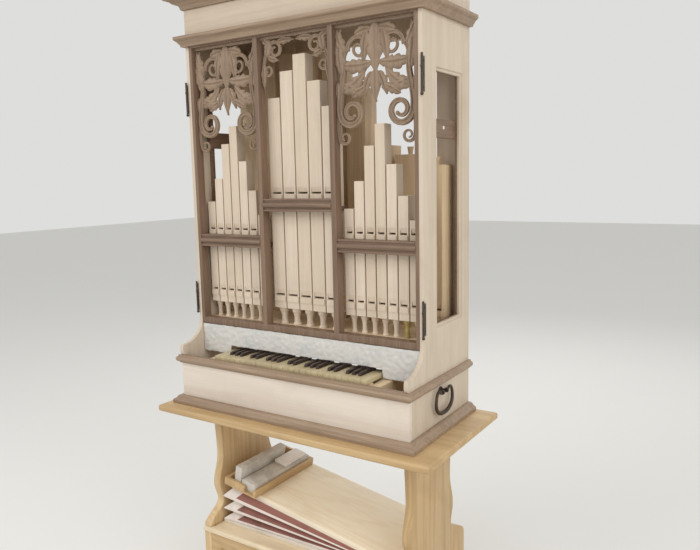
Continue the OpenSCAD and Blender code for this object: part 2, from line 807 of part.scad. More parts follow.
// Lobed leaf that starts at a point, heads off at an angle and bends on its way.
module leaf(at, head, long, wide, bend, lobes) {
    n = lobes * 5;
    function mid(u) = let (a = head + bend * u / 2) at + long * u * [cos(a), sin(a)];
    function half(u) = let (f = u * lobes - floor(u * lobes))
        wide / 2 * sin(180 * pow(u, 0.75)) * (1 - 0.42 * f * f);
    function edge(u, s) = let (a = head + bend * u) mid(u) + s * (half(u) + 1.5) * [-sin(a), cos(a)];
    polygon(concat([for (i = [0:n]) edge(i / n, 1)], [for (i = [n:-1:0]) edge(i / n, -1)]));
}

module both_halves() {
    for (s = [0, 1]) mirror([s, 0]) children();
}

// Side fields: big scrolls below, spirals above, leaves between them and a hanging bud in the middle.
module side_screen_outline() {
    both_halves() {
        translate([84, -262]) scroll(14, 43, 1.4, band, 8, 1);
        stem([[127, -258], [132, -215], [108, -165], [112, -120]], band, band * 0.75);
        stem([[112, -124], [116, -92], [108, -84], [97, -72]], band * 0.75, band * 0.6);
        translate([58, -74]) scroll(9, 39, 1.4, band * 0.65, -8, -1);
        translate([110, -336]) scroll(8, 21, 1.2, band * 0.5, 8, 1);
        stem([[124, -256], [135, -280], [134, -310], [131, -334]], band * 0.7, band * 0.5);
        leaf([114, -150], 70, 138, 44, 34, 4);
        leaf([118, -196], 172, 104, 44, -56, 4);
        leaf([112, -120], 196, 108, 44, -36, 4);
        leaf([70, -36], 150, 66, 32, 40, 3);
        leaf([84, -216], 146, 72, 28, 14, 3);
        leaf([132, -168], -86, 62, 20, -14, 2);
        leaf([26, -22], -74, 104, 32, -16, 3);
        leaf([106, -84], 54, 80, 36, 30, 3);
        leaf([12, -146], -58, 74, 30, -24, 3);
        leaf([116, -176], 206, 84, 34, -10, 3);
    }
    leaf([0, -4], -90, 150, 66, 0, 4);
    leaf([0, -136], -90, 100, 42, 0, 1);
}

// Centre field: rosette spirals in the corners with tails down the mullions, open between them
module centre_screen_outline() {
    both_halves() {
        translate([80, -44]) scroll(8, 30, 1.3, band * 0.65, -8, -1);
        stem([[110, -40], [122, -60], [128, -90], [131, -103]], band * 0.65, band * 0.5);
        translate([110, -105]) scroll(6, 20, 1.2, band * 0.5, 8, 1);
        leaf([124, -84], -82, 78, 24, -8, 3);
        leaf([100, -26], 30, 46, 26, 20, 2);
        leaf([70, -20], 170, 66, 24, 16, 3);
        leaf([112, -64], 96, 60, 34, 10, 2);
        leaf([108, -62], 214, 44, 22, -30, 2);
    }
}

screen_y = frame_d - screen_t - screen_in;
screen_top = arch_bottom - 6;

module screen(f) {
    w = f[1] - f[0];
    color("rosybrown") placed() translate([(f[0] + f[1]) / 2, screen_y + screen_t, screen_top])
        rotate([90, 0, 0]) linear_extrude(screen_t) intersection() {
            translate([-w / 2, -frieze_h * 6]) square([w, frieze_h * 6]);
            union() {
                translate([-w / 2, -strip_h]) square([w, strip_h]);
                children();
            }
        }
}

module screen_left() { screen(field_l) side_screen_outline(); }
module screen_centre() { screen(field_c) centre_screen_outline(); }
module screen_right() { screen(field_r) side_screen_outline(); }

// Ironwork

hinge_z = [320, 1026];
hinge_l = 105;
bead_r = 5;
hinge_out = bead_r + fit;
bead_up = 0.7;
tip_r = 3.8;
nail_r = 2.4;

// Hinges of the absent doors: a slim barrel with beads and a nailed strap on the case's edge.
module door_hinges() {
    x = case_hw + 1;
    color("dimgray") placed() for (s = [-1, 1], z = hinge_z) translate([s * x, -hinge_out, t0 + z]) {
        cylinder(r = hinge_r, h = hinge_l);
        translate([0, 0, -bead_r * 0.5]) sphere(bead_r);
        translate([0, 0, hinge_l * bead_up]) sphere(bead_r);
        translate([0, 0, hinge_l + tip_r * 0.4]) sphere(tip_r);
        translate([-1, 0, hinge_r]) cube([2, hinge_out + hinge_strap, hinge_l - 2 * hinge_r]);
        for (u = [0.15, 0.5, 0.85]) translate([0, hinge_out + hinge_strap * 0.6, hinge_l * u])
            rotate([0, s * 90, 0]) cylinder(r = nail_r, h = 2);
    }
}

staple_out = 15;
eye_gap = 30;
eye_r = 7.5;
eye_t = 7;
pin_r = 3.6;
rose_r = 13;
rose_t = 3;

// Two eyes on a round rose, one pair a side; the handle's pins turn in them.
module handle_eyes() {
    color("dimgray") placed() for (s = [-1, 1]) translate([s * case_hw, handle_y, t0 + handle_z]) {
        rotate([0, s * 90, 0]) cylinder(r = rose_r, h = rose_t);
        for (d = [-1, 1]) translate([0, d * eye_gap / 2, 0]) difference() {
            union() {
                rotate([0, s * 90, 0]) cylinder(r = 3.4, h = staple_out);
                translate([s * staple_out, eye_t / 2, 0]) rotate([90, 0, 0]) cylinder(r = eye_r, h = eye_t);
            }
            translate([s * staple_out, eye_t, 0]) rotate([90, 0, 0]) cylinder(r = pin_r + fit, h = 2 * eye_t);
        }
    }
}

// Middle line of the bail's right half, from the curled end out and round to the grip: [across, height].
bail_in = eye_gap / 2 + eye_t / 2 + 5;
bail_low = handle_h - handle_rod;
bail_wide = handle_w / 2 - handle_rod;
bail_bend = [[bail_in, 0], [bail_in + 14, 14], [bail_wide * 0.86, 8], [bail_wide * 0.92, -bail_low * 0.3]];
bail_round = [[bail_wide * 0.92, -bail_low * 0.3], [bail_wide * 1.0, -bail_low * 0.72],
    [bail_wide * 0.66, -bail_low], [0, -bail_low]];
bail_pts = concat([for (i = [0:4]) bez(bail_bend, i / 4)], [for (i = [1:5]) bez(bail_round, i / 5)]);

// Thickness of the bail along its length: thin at the pins, full at the grip
function bail_r(u) = handle_rod * (0.6 + 0.4 * ease(min(1, u * 1.15)));

module bail() {
    path = bail_pts;
    n = len(path) - 1;
    for (s = [-1, 1]) {
        for (i = [0:n - 1]) hull() {
            translate([0, s * path[i][0], path[i][1]]) sphere(bail_r(i / n), $fn = 8);
            translate([0, s * path[i + 1][0], path[i + 1][1]]) sphere(bail_r((i + 1) / n), $fn = 8);
        }
        translate([0, s * (eye_gap / 2 - eye_t / 2 - 2), 0]) rotate([s < 0 ? 90 : -90, 0, 0])
            cylinder(r = pin_r, h = path[0][0] - eye_gap / 2 + eye_t / 2 + 2);
    }
}

module handle(side) {
    color("dimgray") placed() translate([side * (case_hw + staple_out), handle_y, t0 + handle_z]) bail();
}

module handle_left() { handle(-1); }
module handle_right() { handle(1); }

stand_top();
stand_end_left();
stand_end_right();
stand_box_front();
stand_box_back();
stand_box_lid();
bellows_bottom_board();
bellows_folds();
bellows_top_board();
weight_tray();
bellows_weights();
base_moulding();
base_front_board();
key_moulding();
key_bed();
natural_keys();
sharp_keys();
key_rails();
nameboard();
case_side_left();
case_side_right();
case_floor();
back_frame();
front_frame();
cross_rails();
architrave();
frieze();
cornice();
case_top();
wind_chest();
toe_boards();
upper_pipes_left();
upper_pipes_centre();
upper_pipes_right();
lower_pipes_left();
lower_pipes_centre();
lower_pipes_right();
rear_pipes();
inner_rails();
screen_left();
screen_centre();
screen_right();
door_hinges();
handle_eyes();
handle_left();
handle_right();
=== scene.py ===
"""Small positive pipe organ on its bellows stand: finishes, carving, leather and light around the frame."""

import json
import logging
import math
from collections.abc import Iterator
from contextlib import contextmanager
from dataclasses import dataclass, replace
from enum import Enum
from functools import cached_property

import bpy
from mathutils import Matrix, Vector

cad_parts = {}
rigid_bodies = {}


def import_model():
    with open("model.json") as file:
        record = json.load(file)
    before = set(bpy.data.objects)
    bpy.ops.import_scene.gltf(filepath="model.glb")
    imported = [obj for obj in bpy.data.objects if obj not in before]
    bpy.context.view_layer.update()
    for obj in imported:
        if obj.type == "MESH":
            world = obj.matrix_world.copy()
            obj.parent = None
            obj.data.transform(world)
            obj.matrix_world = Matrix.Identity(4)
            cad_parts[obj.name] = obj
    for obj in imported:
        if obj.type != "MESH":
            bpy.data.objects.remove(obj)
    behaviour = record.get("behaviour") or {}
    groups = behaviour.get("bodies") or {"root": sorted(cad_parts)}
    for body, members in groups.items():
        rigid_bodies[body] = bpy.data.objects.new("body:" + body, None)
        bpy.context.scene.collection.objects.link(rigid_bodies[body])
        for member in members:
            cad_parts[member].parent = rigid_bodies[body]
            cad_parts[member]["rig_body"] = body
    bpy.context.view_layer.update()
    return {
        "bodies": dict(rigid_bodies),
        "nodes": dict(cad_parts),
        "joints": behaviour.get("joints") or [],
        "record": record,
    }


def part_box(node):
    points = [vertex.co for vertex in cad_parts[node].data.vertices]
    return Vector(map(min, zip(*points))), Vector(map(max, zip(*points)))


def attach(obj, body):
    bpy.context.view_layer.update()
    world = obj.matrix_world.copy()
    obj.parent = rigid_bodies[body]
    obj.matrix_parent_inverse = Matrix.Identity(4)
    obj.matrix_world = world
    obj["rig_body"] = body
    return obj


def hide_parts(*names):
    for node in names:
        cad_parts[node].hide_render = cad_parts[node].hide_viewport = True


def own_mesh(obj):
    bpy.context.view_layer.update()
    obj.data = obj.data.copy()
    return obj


logging.basicConfig(level=logging.INFO, format="%(message)s")
log = logging.getLogger("organ")

Colour = tuple[float, float, float]
Point = tuple[float, float]
Triple = tuple[float, float, float]
Piece = bpy.types.Object
Socket = bpy.types.NodeSocket
Tree = bpy.types.NodeTree
Material = bpy.types.Material
MM = 0.001
QUARTER = math.radians(90)


class Grain(Enum):
    """Direction that a board's fibres run in."""

    X = 0
    Y = 1
    Z = 2


def srgb(r: int, g: int, b: int) -> Colour:
    """Turn a colour as read on a screen into the linear values that a shader takes.

    Args:
        r: Red, 0 to 255.
        g: Green, 0 to 255.
        b: Blue, 0 to 255.

    Returns:
        The three linear values.
    """
    def linear(v: int) -> float:
        """Undo the screen's curve for one channel."""
        c = v / 255
        return c / 12.92 if c <= 0.04045 else ((c + 0.055) / 1.055) ** 2.4

    return linear(r), linear(g), linear(b)


def clear_selection() -> None:
    """Leave edit mode and deselect everything."""
    if bpy.context.object and bpy.context.object.mode != "OBJECT":
        bpy.ops.object.mode_set(mode="OBJECT")
    bpy.ops.object.select_all(action="DESELECT")


def take(piece: Piece) -> None:
    """Make one object the only selected and the active one."""
    clear_selection()
    piece.select_set(True)
    bpy.context.view_layer.objects.active = piece


def put(name: str, data: bpy.types.ID) -> Piece:
    """Add an object with the given data to the scene."""
    piece = bpy.data.objects.new(name, data)
    bpy.context.scene.collection.objects.link(piece)
    return piece


@contextmanager
def editing(piece: Piece) -> Iterator[None]:
    """Edit a piece's mesh with all of it selected, then go back to object mode."""
    take(piece)
    bpy.ops.object.mode_set(mode="EDIT")
    bpy.ops.mesh.select_all(action="SELECT")
    yield
    bpy.ops.object.mode_set(mode="OBJECT")


def normals_out(piece: Piece) -> None:
    """Turn a closed piece's normals outward."""
    with editing(piece):
        bpy.ops.mesh.normals_make_consistent(inside=False)


def settle(piece: Piece) -> Piece:
    """Bake a piece's place, turn and size into its mesh."""
    take(piece)
    bpy.ops.object.transform_apply(location=True, rotation=True, scale=True)
    return piece


def trace(name: str, points: list[tuple[Triple, float]], flat: bool = True) -> bpy.types.Curve:
    """Make the data of a curve with straight pieces.

    Args:
        name: The data's name.
        points: Each point's place and radius.
        flat: Whether the curve stays in its XY plane.

    Returns:
        The curve's data.
    """
    data = bpy.data.curves.new(name, "CURVE")
    data.dimensions = "2D" if flat else "3D"
    spline = data.splines.new("POLY")
    spline.points.add(len(points) - 1)
    for point, (place, radius) in zip(spline.points, points):
        point.co = (*place, 1.0)
        point.radius = radius
    return data


def as_mesh(curve: Piece) -> Piece:
    """Turn a curve into a mesh."""
    take(curve)
    bpy.ops.object.convert(target="MESH")
    return bpy.context.object


def join(parts: list[Piece], name: str) -> Piece:
    """Join several meshes into one named piece.

    Args:
        parts: The meshes, each already in place.
        name: The joined piece's name.

    Returns:
        The joined piece, at the origin.
    """
    clear_selection()
    for part in parts:
        part.select_set(True)
    bpy.context.view_layer.objects.active = parts[0]
    bpy.ops.object.transform_apply(location=True, rotation=True, scale=True)
    if len(parts) > 1:
        bpy.ops.object.join()
    piece = bpy.context.view_layer.objects.active
    piece.name = name
    piece.data.name = name
    return piece


def apply_modifiers(piece: Piece) -> None:
    """Apply every modifier of a piece in its order."""
    take(piece)
    for name in [m.name for m in piece.modifiers]:
        bpy.ops.object.modifier_apply(modifier=name)


def smooth(piece: Piece, degrees: float = 35.0) -> None:
    """Shade a piece smooth where its faces meet at less than an angle."""
    take(piece)
    bpy.ops.object.shade_smooth_by_angle(angle=math.radians(degrees))


def dress(piece: Piece, material: Material) -> None:
    """Give a piece one material all over."""
    piece.data.materials.clear()
    piece.data.materials.append(material)
    for face in piece.data.polygons:
        face.material_index = 0


def report(piece: Piece) -> None:
    """Log a finished piece's name and its number of faces."""
    log.info("%s: %d faces", piece.name, len(piece.data.polygons))


def feed(tree: Tree, socket: Socket, value: object) -> None:
    """Link a socket to an input, or set the input to a number or a colour."""
    if isinstance(value, Socket):
        tree.links.new(value, socket)
    else:
        socket.default_value = (*value, 1.0) if isinstance(value, tuple) else value


def stretch(tree: Tree, span: str, value: Socket, low: float, high: float) -> Socket:
    """Map a value to other levels.

    Args:
        tree: The tree that gets the node.
        span: "From" where the levels become 0 and 1, "To" where 0 and 1 become the levels.
        value: The value to map.
        low: Lower level.
        high: Upper level.

    Returns:
        The mapped value.
    """
    node = tree.nodes.new("ShaderNodeMapRange")
    node.inputs[span + " Min"].default_value = low
    node.inputs[span + " Max"].default_value = high
    tree.links.new(value, node.inputs["Value"])
    return node.outputs["Result"]


def calculate(tree: Tree, operation: str, a: object, b: object = 0.0) -> Socket:
    """Add a math node fed by sockets or numbers and return its value."""
    node = tree.nodes.new("ShaderNodeMath")
    node.operation = operation
    feed(tree, node.inputs[0], a)
    feed(tree, node.inputs[1], b)
    return node.outputs[0]


class NodeGroups:
    """Shader node groups that several finishes share, each built once."""

    ring_waves = 34.0

    @staticmethod
    def _tree(name: str, inputs: dict[str, float], outputs: tuple[str, ...]) -> tuple:
        """Make a group that takes a vector and numbers and gives masks.

        Args:
            name: The group's name.
            inputs: Name and default of each number beside the vector.
            outputs: Names of the masks.

        Returns:
            The tree, its input node and its output node.
        """
        tree = bpy.data.node_groups.new(name, "ShaderNodeTree")
        tree.interface.new_socket("Vector", in_out="INPUT", socket_type="NodeSocketVector")
        for label, default in inputs.items():
            socket = tree.interface.new_socket(label, in_out="INPUT", socket_type="NodeSocketFloat")
            socket.default_value = default
        for label in outputs:
            tree.interface.new_socket(label, in_out="OUTPUT", socket_type="NodeSocketFloat")
        return tree, tree.nodes.new("NodeGroupInput"), tree.nodes.new("NodeGroupOutput")

    @staticmethod
    def _noise(tree: Tree, vector: Socket, **values: object) -> Socket:
        """Add a noise texture with the given inputs and return its value."""
        node = tree.nodes.new("ShaderNodeTexNoise")
        tree.links.new(vector, node.inputs["Vector"])
        for label, value in values.items():
            feed(tree, node.inputs[label], value)
        return node.outputs["Fac"]

    def _mask(self, tree: Tree, vector: Socket, low: float, high: float, **values: object) -> Socket:
        """Add a noise texture and stretch the part between two levels to a mask."""
        return stretch(tree, "From", self._noise(tree, vector, **values), low, high)

    @cached_property
    def wood(self) -> Tree:
        """Rings, fibres, patches and a height of planed wood, from a vector that is short along the grain."""
        tree, start, end = self._tree("planed_wood", {"Ring scale": 38.0, "Fibre scale": 420.0},
                                      ("Rings", "Fibre", "Patch", "Height"))
        vector = start.outputs["Vector"]
        growth = self._noise(tree, vector, Scale=start.outputs["Ring scale"], Detail=3.0, Distortion=0.6)
        waves = calculate(tree, "SINE", calculate(tree, "MULTIPLY", growth, self.ring_waves))
        rings = stretch(tree, "From", waves, -1.0, 1.0)
        fibre = self._mask(tree, vector, 0.3, 0.72, Scale=start.outputs["Fibre scale"], Detail=4.0,
                           Roughness=0.65)
        patch = self._mask(tree, vector, 0.3, 0.7, Scale=7.0, Detail=2.0)
        height = calculate(tree, "ADD", calculate(tree, "MULTIPLY", fibre, 0.7),
                           calculate(tree, "MULTIPLY", rings, 0.3))
        for label, socket in (("Rings", rings), ("Fibre", fibre), ("Patch", patch), ("Height", height)):
            tree.links.new(socket, end.inputs[label])
        return tree

    @cached_property
    def piece_tint(self) -> Tree:
        """A value from 0 to 1 that is the same all over one piece of a row of like pieces along X."""
        tree, start, end = self._tree("piece_tone", {"First edge": 0.0, "Pitch": 0.05}, ("Tone",))
        split = tree.nodes.new("ShaderNodeSeparateXYZ")
        tree.links.new(start.outputs["Vector"], split.inputs[0])
        shifted = calculate(tree, "SUBTRACT", split.outputs[0], start.outputs["First edge"])
        cell = calculate(tree, "FLOOR", calculate(tree, "DIVIDE", shifted, start.outputs["Pitch"]))
        noise = tree.nodes.new("ShaderNodeTexWhiteNoise")
        noise.noise_dimensions = "1D"
        tree.links.new(cell, noise.inputs["W"])
        tree.links.new(noise.outputs["Value"], end.inputs["Tone"])
        return tree

    @cached_property
    def handling(self) -> Tree:
        """Soft stains, scuffs and a fine height from work and handling."""
        tree, start, end = self._tree("handling_marks", {"Scale": 1.0}, ("Stain", "Scuff", "Height"))
        scaled = tree.nodes.new("ShaderNodeVectorMath")
        scaled.operation = "SCALE"
        tree.links.new(start.outputs["Vector"], scaled.inputs[0])
        tree.links.new(start.outputs["Scale"], scaled.inputs["Scale"])
        vector = scaled.outputs[0]
        stain = self._mask(tree, vector, 0.5, 0.78, Scale=5.0, Detail=6.0, Distortion=0.8)
        scuff = self._mask(tree, vector, 0.62, 0.72, Scale=60.0, Detail=8.0, Distortion=1.5)
        height = self._noise(tree, vector, Scale=140.0, Detail=4.0)
        for label, socket in (("Stain", stain), ("Scuff", scuff), ("Height", height)):
            tree.links.new(socket, end.inputs[label])
        return tree


GROUPS = NodeGroups()


class Shader:
    """A material under construction, with short calls for its nodes."""

    def __init__(self, name: str) -> None:
        """Start a material with a Principled shader and Object coordinates."""
        self.material = bpy.data.materials.new(name)
        self.material.use_nodes = True
        self.tree = self.material.node_tree
        self.bsdf = self.tree.nodes["Principled BSDF"]
        self.coords = self.tree.nodes.new("ShaderNodeTexCoord").outputs["Object"]

    def along(self, grain: Grain, squeeze: float = 0.045, shift: float = 0.0) -> Socket:
        """Coordinates that are short along the grain.

        Args:
            grain: The direction of the fibres.
            squeeze: Length of the pattern across the grain over its length along it.
            shift: Offset in metres, so that two finishes don't show the same figure.

        Returns:
            The mapped vector.
        """
        node = self.tree.nodes.new("ShaderNodeMapping")
        node.inputs["Scale"].default_value = [squeeze if i == grain.value else 1.0 for i in range(3)]
        node.inputs["Location"].default_value = (shift, shift * 0.7, shift * 1.3)
        self.tree.links.new(self.coords, node.inputs["Vector"])
        return node.outputs["Vector"]

    def group(self, tree: Tree, vector: Socket, **values: float) -> bpy.types.Node:
        """Place a node group with its own values."""
        node = self.tree.nodes.new("ShaderNodeGroup")
        node.node_tree = tree
        self.tree.links.new(vector, node.inputs["Vector"])
        for label, value in values.items():
            node.inputs[label.replace("_", " ")].default_value = value
        return node

    def mix(self, share: object, a: object, b: object) -> Socket:
        """Mix two colours by a share; each may be a colour or a socket."""
        node = self.tree.nodes.new("ShaderNodeMix")
        node.data_type = "RGBA"
        for index, value in ((0, share), (6, a), (7, b)):
            feed(self.tree, node.inputs[index], value)
        return node.outputs[2]

    def times(self, value: Socket, factor: float) -> Socket:
        """A value times a number."""
        return calculate(self.tree, "MULTIPLY", value, factor)

    def level(self, value: Socket, low: float, high: float) -> Socket:
        """Map a mask of 0 to 1 to a range."""
        return stretch(self.tree, "To", value, low, high)

    def finish(self, colour: object, rough: object, height: object = None, bump: float = 0.1,
               metallic: float = 0.0) -> Material:
        """Connect colour, roughness and bump, and return the material.

        Args:
            colour: A colour or a colour socket.
            rough: A number or a value socket.
            height: The socket that the Bump node reads, or None.
            bump: Strength of the bump, with a distance of one millimetre.
            metallic: The shader's metallic value.

        Returns:
            The finished material.
        """
        feed(self.tree, self.bsdf.inputs["Base Color"], colour)
        feed(self.tree, self.bsdf.inputs["Roughness"], rough)
        self.bsdf.inputs["Metallic"].default_value = metallic
        if height is not None:
            node = self.tree.nodes.new("ShaderNodeBump")
            node.inputs["Strength"].default_value = bump
            node.inputs["Distance"].default_value = MM
            self.tree.links.new(height, node.inputs["Height"])
            self.tree.links.new(node.outputs["Normal"], self.bsdf.inputs["Normal"])
        return self.material


class Finish:
    """A finish whose material is built once and then shared by its name."""

    name: str

    def paint(self, s: Shader) -> Material:
        """Fill the shader; each kind of finish does it in its own way."""
        raise NotImplementedError

    def material(self) -> Material:
        """The finish's material, built the first time that it is asked for."""
        if self.name in bpy.data.materials:
            return bpy.data.materials[self.name]
        return self.paint(Shader(self.name))


@dataclass(frozen=True)
class WoodFinish(Finish):
    """One wood in one state: its tones, the direction of its grain and its surface."""

    name: str
    light: Colour
    dark: Colour
    grain: Grain
    figure: float = 0.35
    fibre: float = 0.35
    patch: float = 0.3
    stain: float = 0.25
    stain_tone: Colour = srgb(120, 100, 78)
    rough: float = 0.6
    bump: float = 0.25
    ring_scale: float = 20.0
    shift: float = 0.0
    first_edge: float = 0.0
    pitch: float = 0.0
    tone_step: float = 0.0
    paling = 1.12

    def cut(self, name: str, grain: Grain, shift: float = 0.0) -> "WoodFinish":
        """The same wood with its grain in another direction and another part of its figure."""
        return replace(self, name=name, grain=grain, shift=shift)

    def in_row(self, name: str, node: str, count: int, gap: float) -> "WoodFinish":
        """The same wood for a row of like pieces along X, each with its own tone.

        Args:
            name: The finish's name.
            node: The frame's node that holds the row.
            count: Number of pieces.
            gap: Space between two pieces.

        Returns:
            The finish for the row.
        """
        low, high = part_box(node)
        return replace(self, name=name, first_edge=low.x - gap / 2, pitch=(high.x - low.x + gap) / count)

    def paint(self, s: Shader) -> Material:
        """Rings, fibres and patches, the tone of the single piece, then stains from handling."""
        figure = s.group(GROUPS.wood, s.along(self.grain, shift=self.shift), Ring_scale=self.ring_scale)
        marks = s.group(GROUPS.handling, s.coords)
        colour = s.mix(s.times(figure.outputs["Rings"], self.figure), self.light, self.dark)
        colour = s.mix(s.times(figure.outputs["Fibre"], self.fibre), colour, self.dark)
        pale = tuple(min(1.0, c * self.paling) for c in self.light)
        colour = s.mix(s.times(figure.outputs["Patch"], self.patch), colour, pale)
        if self.pitch:
            tone = s.group(GROUPS.piece_tint, s.coords, First_edge=self.first_edge, Pitch=self.pitch)
            colour = s.mix(s.times(tone.outputs["Tone"], self.tone_step), colour, self.dark)
        colour = s.mix(s.times(marks.outputs["Stain"], self.stain), colour, self.stain_tone)
        rough = s.level(figure.outputs["Fibre"], self.rough - 0.08, min(1.0, self.rough + 0.1))
        return s.finish(colour, rough, figure.outputs["Height"], self.bump)


class Camera:
    """The camera of the photograph, fitted to the case's edges."""

    place = Vector((1.3532, -1.8670, 1.5549))
    azimuth = 33.14
    pitch = -8.125
    roll = -1.232
    focal_px = 685.4
    width_px = 700
    sensor = 36.0
    near = 0.05
    far = 80.0

    def build(self) -> None:
        """Add the camera and make it the scene's."""
        a, e, r = (math.radians(v) for v in (self.azimuth, self.pitch, self.roll))
        ahead = Vector((-math.sin(a) * math.cos(e), math.cos(a) * math.cos(e), math.sin(e)))
        right = Vector((math.cos(a), math.sin(a), 0.0))
        up = right.cross(ahead)
        turned_right = right * math.cos(r) + up * math.sin(r)
        turned_up = up * math.cos(r) - right * math.sin(r)
        data = bpy.data.cameras.new("camera")
        data.sensor_width = self.sensor
        data.lens = self.focal_px / self.width_px * self.sensor
        data.clip_start, data.clip_end = self.near, self.far
        camera = put("camera", data)
        turn = Matrix((turned_right, turned_up, -ahead)).transposed().to_4x4()
        camera.matrix_world = Matrix.Translation(self.place) @ turn
        bpy.context.scene.camera = camera


@dataclass(frozen=True)
class Lamp:
    """A soft square lamp: its place, the point that it faces, its size in metres and power in watts."""

    name: str
    place: Triple
    aim: Triple
    size: float
    power: float

    def build(self) -> None:
        """Add the lamp."""
        data = bpy.data.lights.new(self.name, "AREA")
        data.size = self.size
        data.energy = self.power
        way = Vector(self.aim) - Vector(self.place)
        turn = way.to_track_quat("-Z", "Y").to_matrix().to_4x4()
        put(self.name, data).matrix_world = Matrix.Translation(self.place) @ turn


@dataclass(frozen=True)
class Studio:
    """Plain pale floor, pale surroundings and soft lamps."""

    floor_size: float = 40.0
    floor_z: float = -0.0005
    floor_tone: Colour = srgb(230, 229, 226)
    floor_rough: float = 0.75
    mark_tone: Colour = srgb(218, 217, 214)
    mark_share: float = 0.06
    mark_scale: float = 0.4
    room_tone: Colour = srgb(222, 222, 220)
    room_light: float = 0.95
    room_seen: float = 1.0
    lamps: tuple[Lamp, ...] = (
        Lamp("key", (-2.2, -3.6, 4.2), (0, 0, 1.3), 3.2, 88.0),
        Lamp("fill", (3.6, -1.6, 3.0), (0, 0, 1.2), 3.0, 58.0),
        Lamp("back", (-0.6, 3.6, 3.6), (0, 0, 1.3), 3.0, 40.0),
    )

    def build(self) -> None:
        """Add the floor, the lamps and the world."""
        clear_selection()
        bpy.ops.mesh.primitive_plane_add(size=self.floor_size, location=(0, 0, self.floor_z))
        floor = settle(bpy.context.object)
        floor.name = "floor"
        s = Shader("studio_floor")
        marks = s.group(GROUPS.handling, s.coords, Scale=self.mark_scale)
        tone = s.mix(s.times(marks.outputs["Stain"], self.mark_share), self.floor_tone, self.mark_tone)
        dress(floor, s.finish(tone, self.floor_rough))
        for lamp in self.lamps:
            lamp.build()
        self._world()

    def _world(self) -> None:
        """Light the scene with the room's tone, and show that tone behind it."""
        world = bpy.data.worlds.new("studio")
        bpy.context.scene.world = world
        world.use_nodes = True
        tree = world.node_tree
        path = tree.nodes.new("ShaderNodeLightPath")
        mix = tree.nodes.new("ShaderNodeMixShader")
        tree.links.new(path.outputs["Is Camera Ray"], mix.inputs[0])
        glows = ((tree.nodes["Background"], self.room_light),
                 (tree.nodes.new("ShaderNodeBackground"), self.room_seen))
        for index, (glow, strength) in enumerate(glows, 1):
            glow.inputs["Color"].default_value = (*self.room_tone, 1.0)
            glow.inputs["Strength"].default_value = strength
            tree.links.new(glow.outputs[0], mix.inputs[index])
        tree.links.new(mix.outputs[0], tree.nodes["World Output"].inputs["Surface"])


@dataclass(frozen=True)
class LeatherFinish(Finish):
    """Soft leather: pale tawed skin or the reddish skin of the fold boards."""

    name: str
    light: Colour
    dark: Colour
    rough: float = 0.85
    mottle: float = 0.6

    def paint(self, s: Shader) -> Material:
        """Two sizes of blotches between the skin's tones."""
        marks = s.group(GROUPS.handling, s.coords, Scale=2.2)
        broad = s.group(GROUPS.handling, s.coords, Scale=0.7)
        colour = s.mix(s.times(marks.outputs["Stain"], self.mottle), self.light, self.dark)
        colour = s.mix(s.times(broad.outputs["Stain"], 0.5 * self.mottle), colour, self.dark)
        return s.finish(colour, self.rough, marks.outputs["Height"], 0.5)


@dataclass(frozen=True)
class IronFinish(Finish):
    """Blackened wrought iron with rubbed, slightly rusty spots."""

    name: str = "wrought_iron"
    black: Colour = srgb(72, 62, 54)
    rust: Colour = srgb(112, 84, 62)
    rubbed: Colour = srgb(134, 124, 112)

    def paint(self, s: Shader) -> Material:
        """Black iron, rust in the stains and bare metal where it is rubbed."""
        marks = s.group(GROUPS.handling, s.coords, Scale=4.0)
        colour = s.mix(s.times(marks.outputs["Stain"], 0.7), self.black, self.rust)
        colour = s.mix(marks.outputs["Scuff"], colour, self.rubbed)
        rough = s.level(marks.outputs["Stain"], 0.42, 0.75)
        return s.finish(colour, rough, marks.outputs["Height"], 0.6, metallic=0.55)


@dataclass(frozen=True)
class MottledFinish(Finish):
    """A surface with broad blotches of two tones and finer specks, such as lead, stone or old paint."""

    name: str
    base: Colour
    blotch: Colour
    speck: Colour
    rough: float
    bump: float

    def paint(self, s: Shader) -> Material:
        """Broad blotches under fine specks."""
        broad = s.group(GROUPS.handling, s.coords, Scale=2.6)
        fine = s.group(GROUPS.handling, s.coords, Scale=7.0)
        colour = s.mix(broad.outputs["Stain"], self.base, self.blotch)
        colour = s.mix(s.times(fine.outputs["Stain"], 0.7), colour, self.speck)
        rough = s.level(fine.outputs["Stain"], self.rough, min(1.0, self.rough + 0.12))
        return s.finish(colour, rough, fine.outputs["Height"], self.bump)


PINE = WoodFinish("pine_wood", srgb(204, 174, 128), srgb(160, 124, 78), Grain.X, figure=0.4, fibre=0.2,
                  patch=0.25, stain=0.3, stain_tone=srgb(140, 108, 66), rough=0.5, ring_scale=16.0)
# Lighter copy of pine for the left end board, which stands in shade under the table top: painted light that
# offsets that shade.
PINE_PAINTED_LIGHTER = replace(PINE, light=srgb(222, 194, 150), dark=srgb(180, 146, 100), stain_tone=srgb(158, 126, 82))
# Paler pine for the low box's lid: painted light for the strong light that falls on the lid; the stains mixed
# in are real.
LID_PINE_PAINTED_LIGHT = WoodFinish("lid_pine_painted_light", srgb(238, 222, 192), srgb(208, 184, 144), Grain.X, figure=0.4, fibre=0.2,
                       stain=0.3, stain_tone=srgb(160, 132, 94), shift=2.3)
BELLOWS_PINE = WoodFinish("bellows_pine", srgb(250, 238, 214), srgb(230, 208, 172), Grain.X, figure=0.4,
                          fibre=0.2, stain=0.15, ring_scale=14.0, shift=3.1)
MAPLE = WoodFinish("bare_maple", srgb(211, 196, 176), srgb(178, 159, 137), Grain.X, figure=0.3, fibre=0.25,
                   patch=0.4, stain=0.28, stain_tone=srgb(176, 154, 128), rough=0.66, ring_scale=11.0)
# Paler copy of maple for the base's front board: painted light where the lamps' light falls most on the
# front, with real stains and patches.
MAPLE_PAINTED_LIGHT = replace(MAPLE, name="maple_painted_light", light=srgb(228, 216, 202), dark=srgb(200, 184, 168),
                         patch=0.5, stain=0.3, stain_tone=srgb(190, 174, 156), shift=1.3)
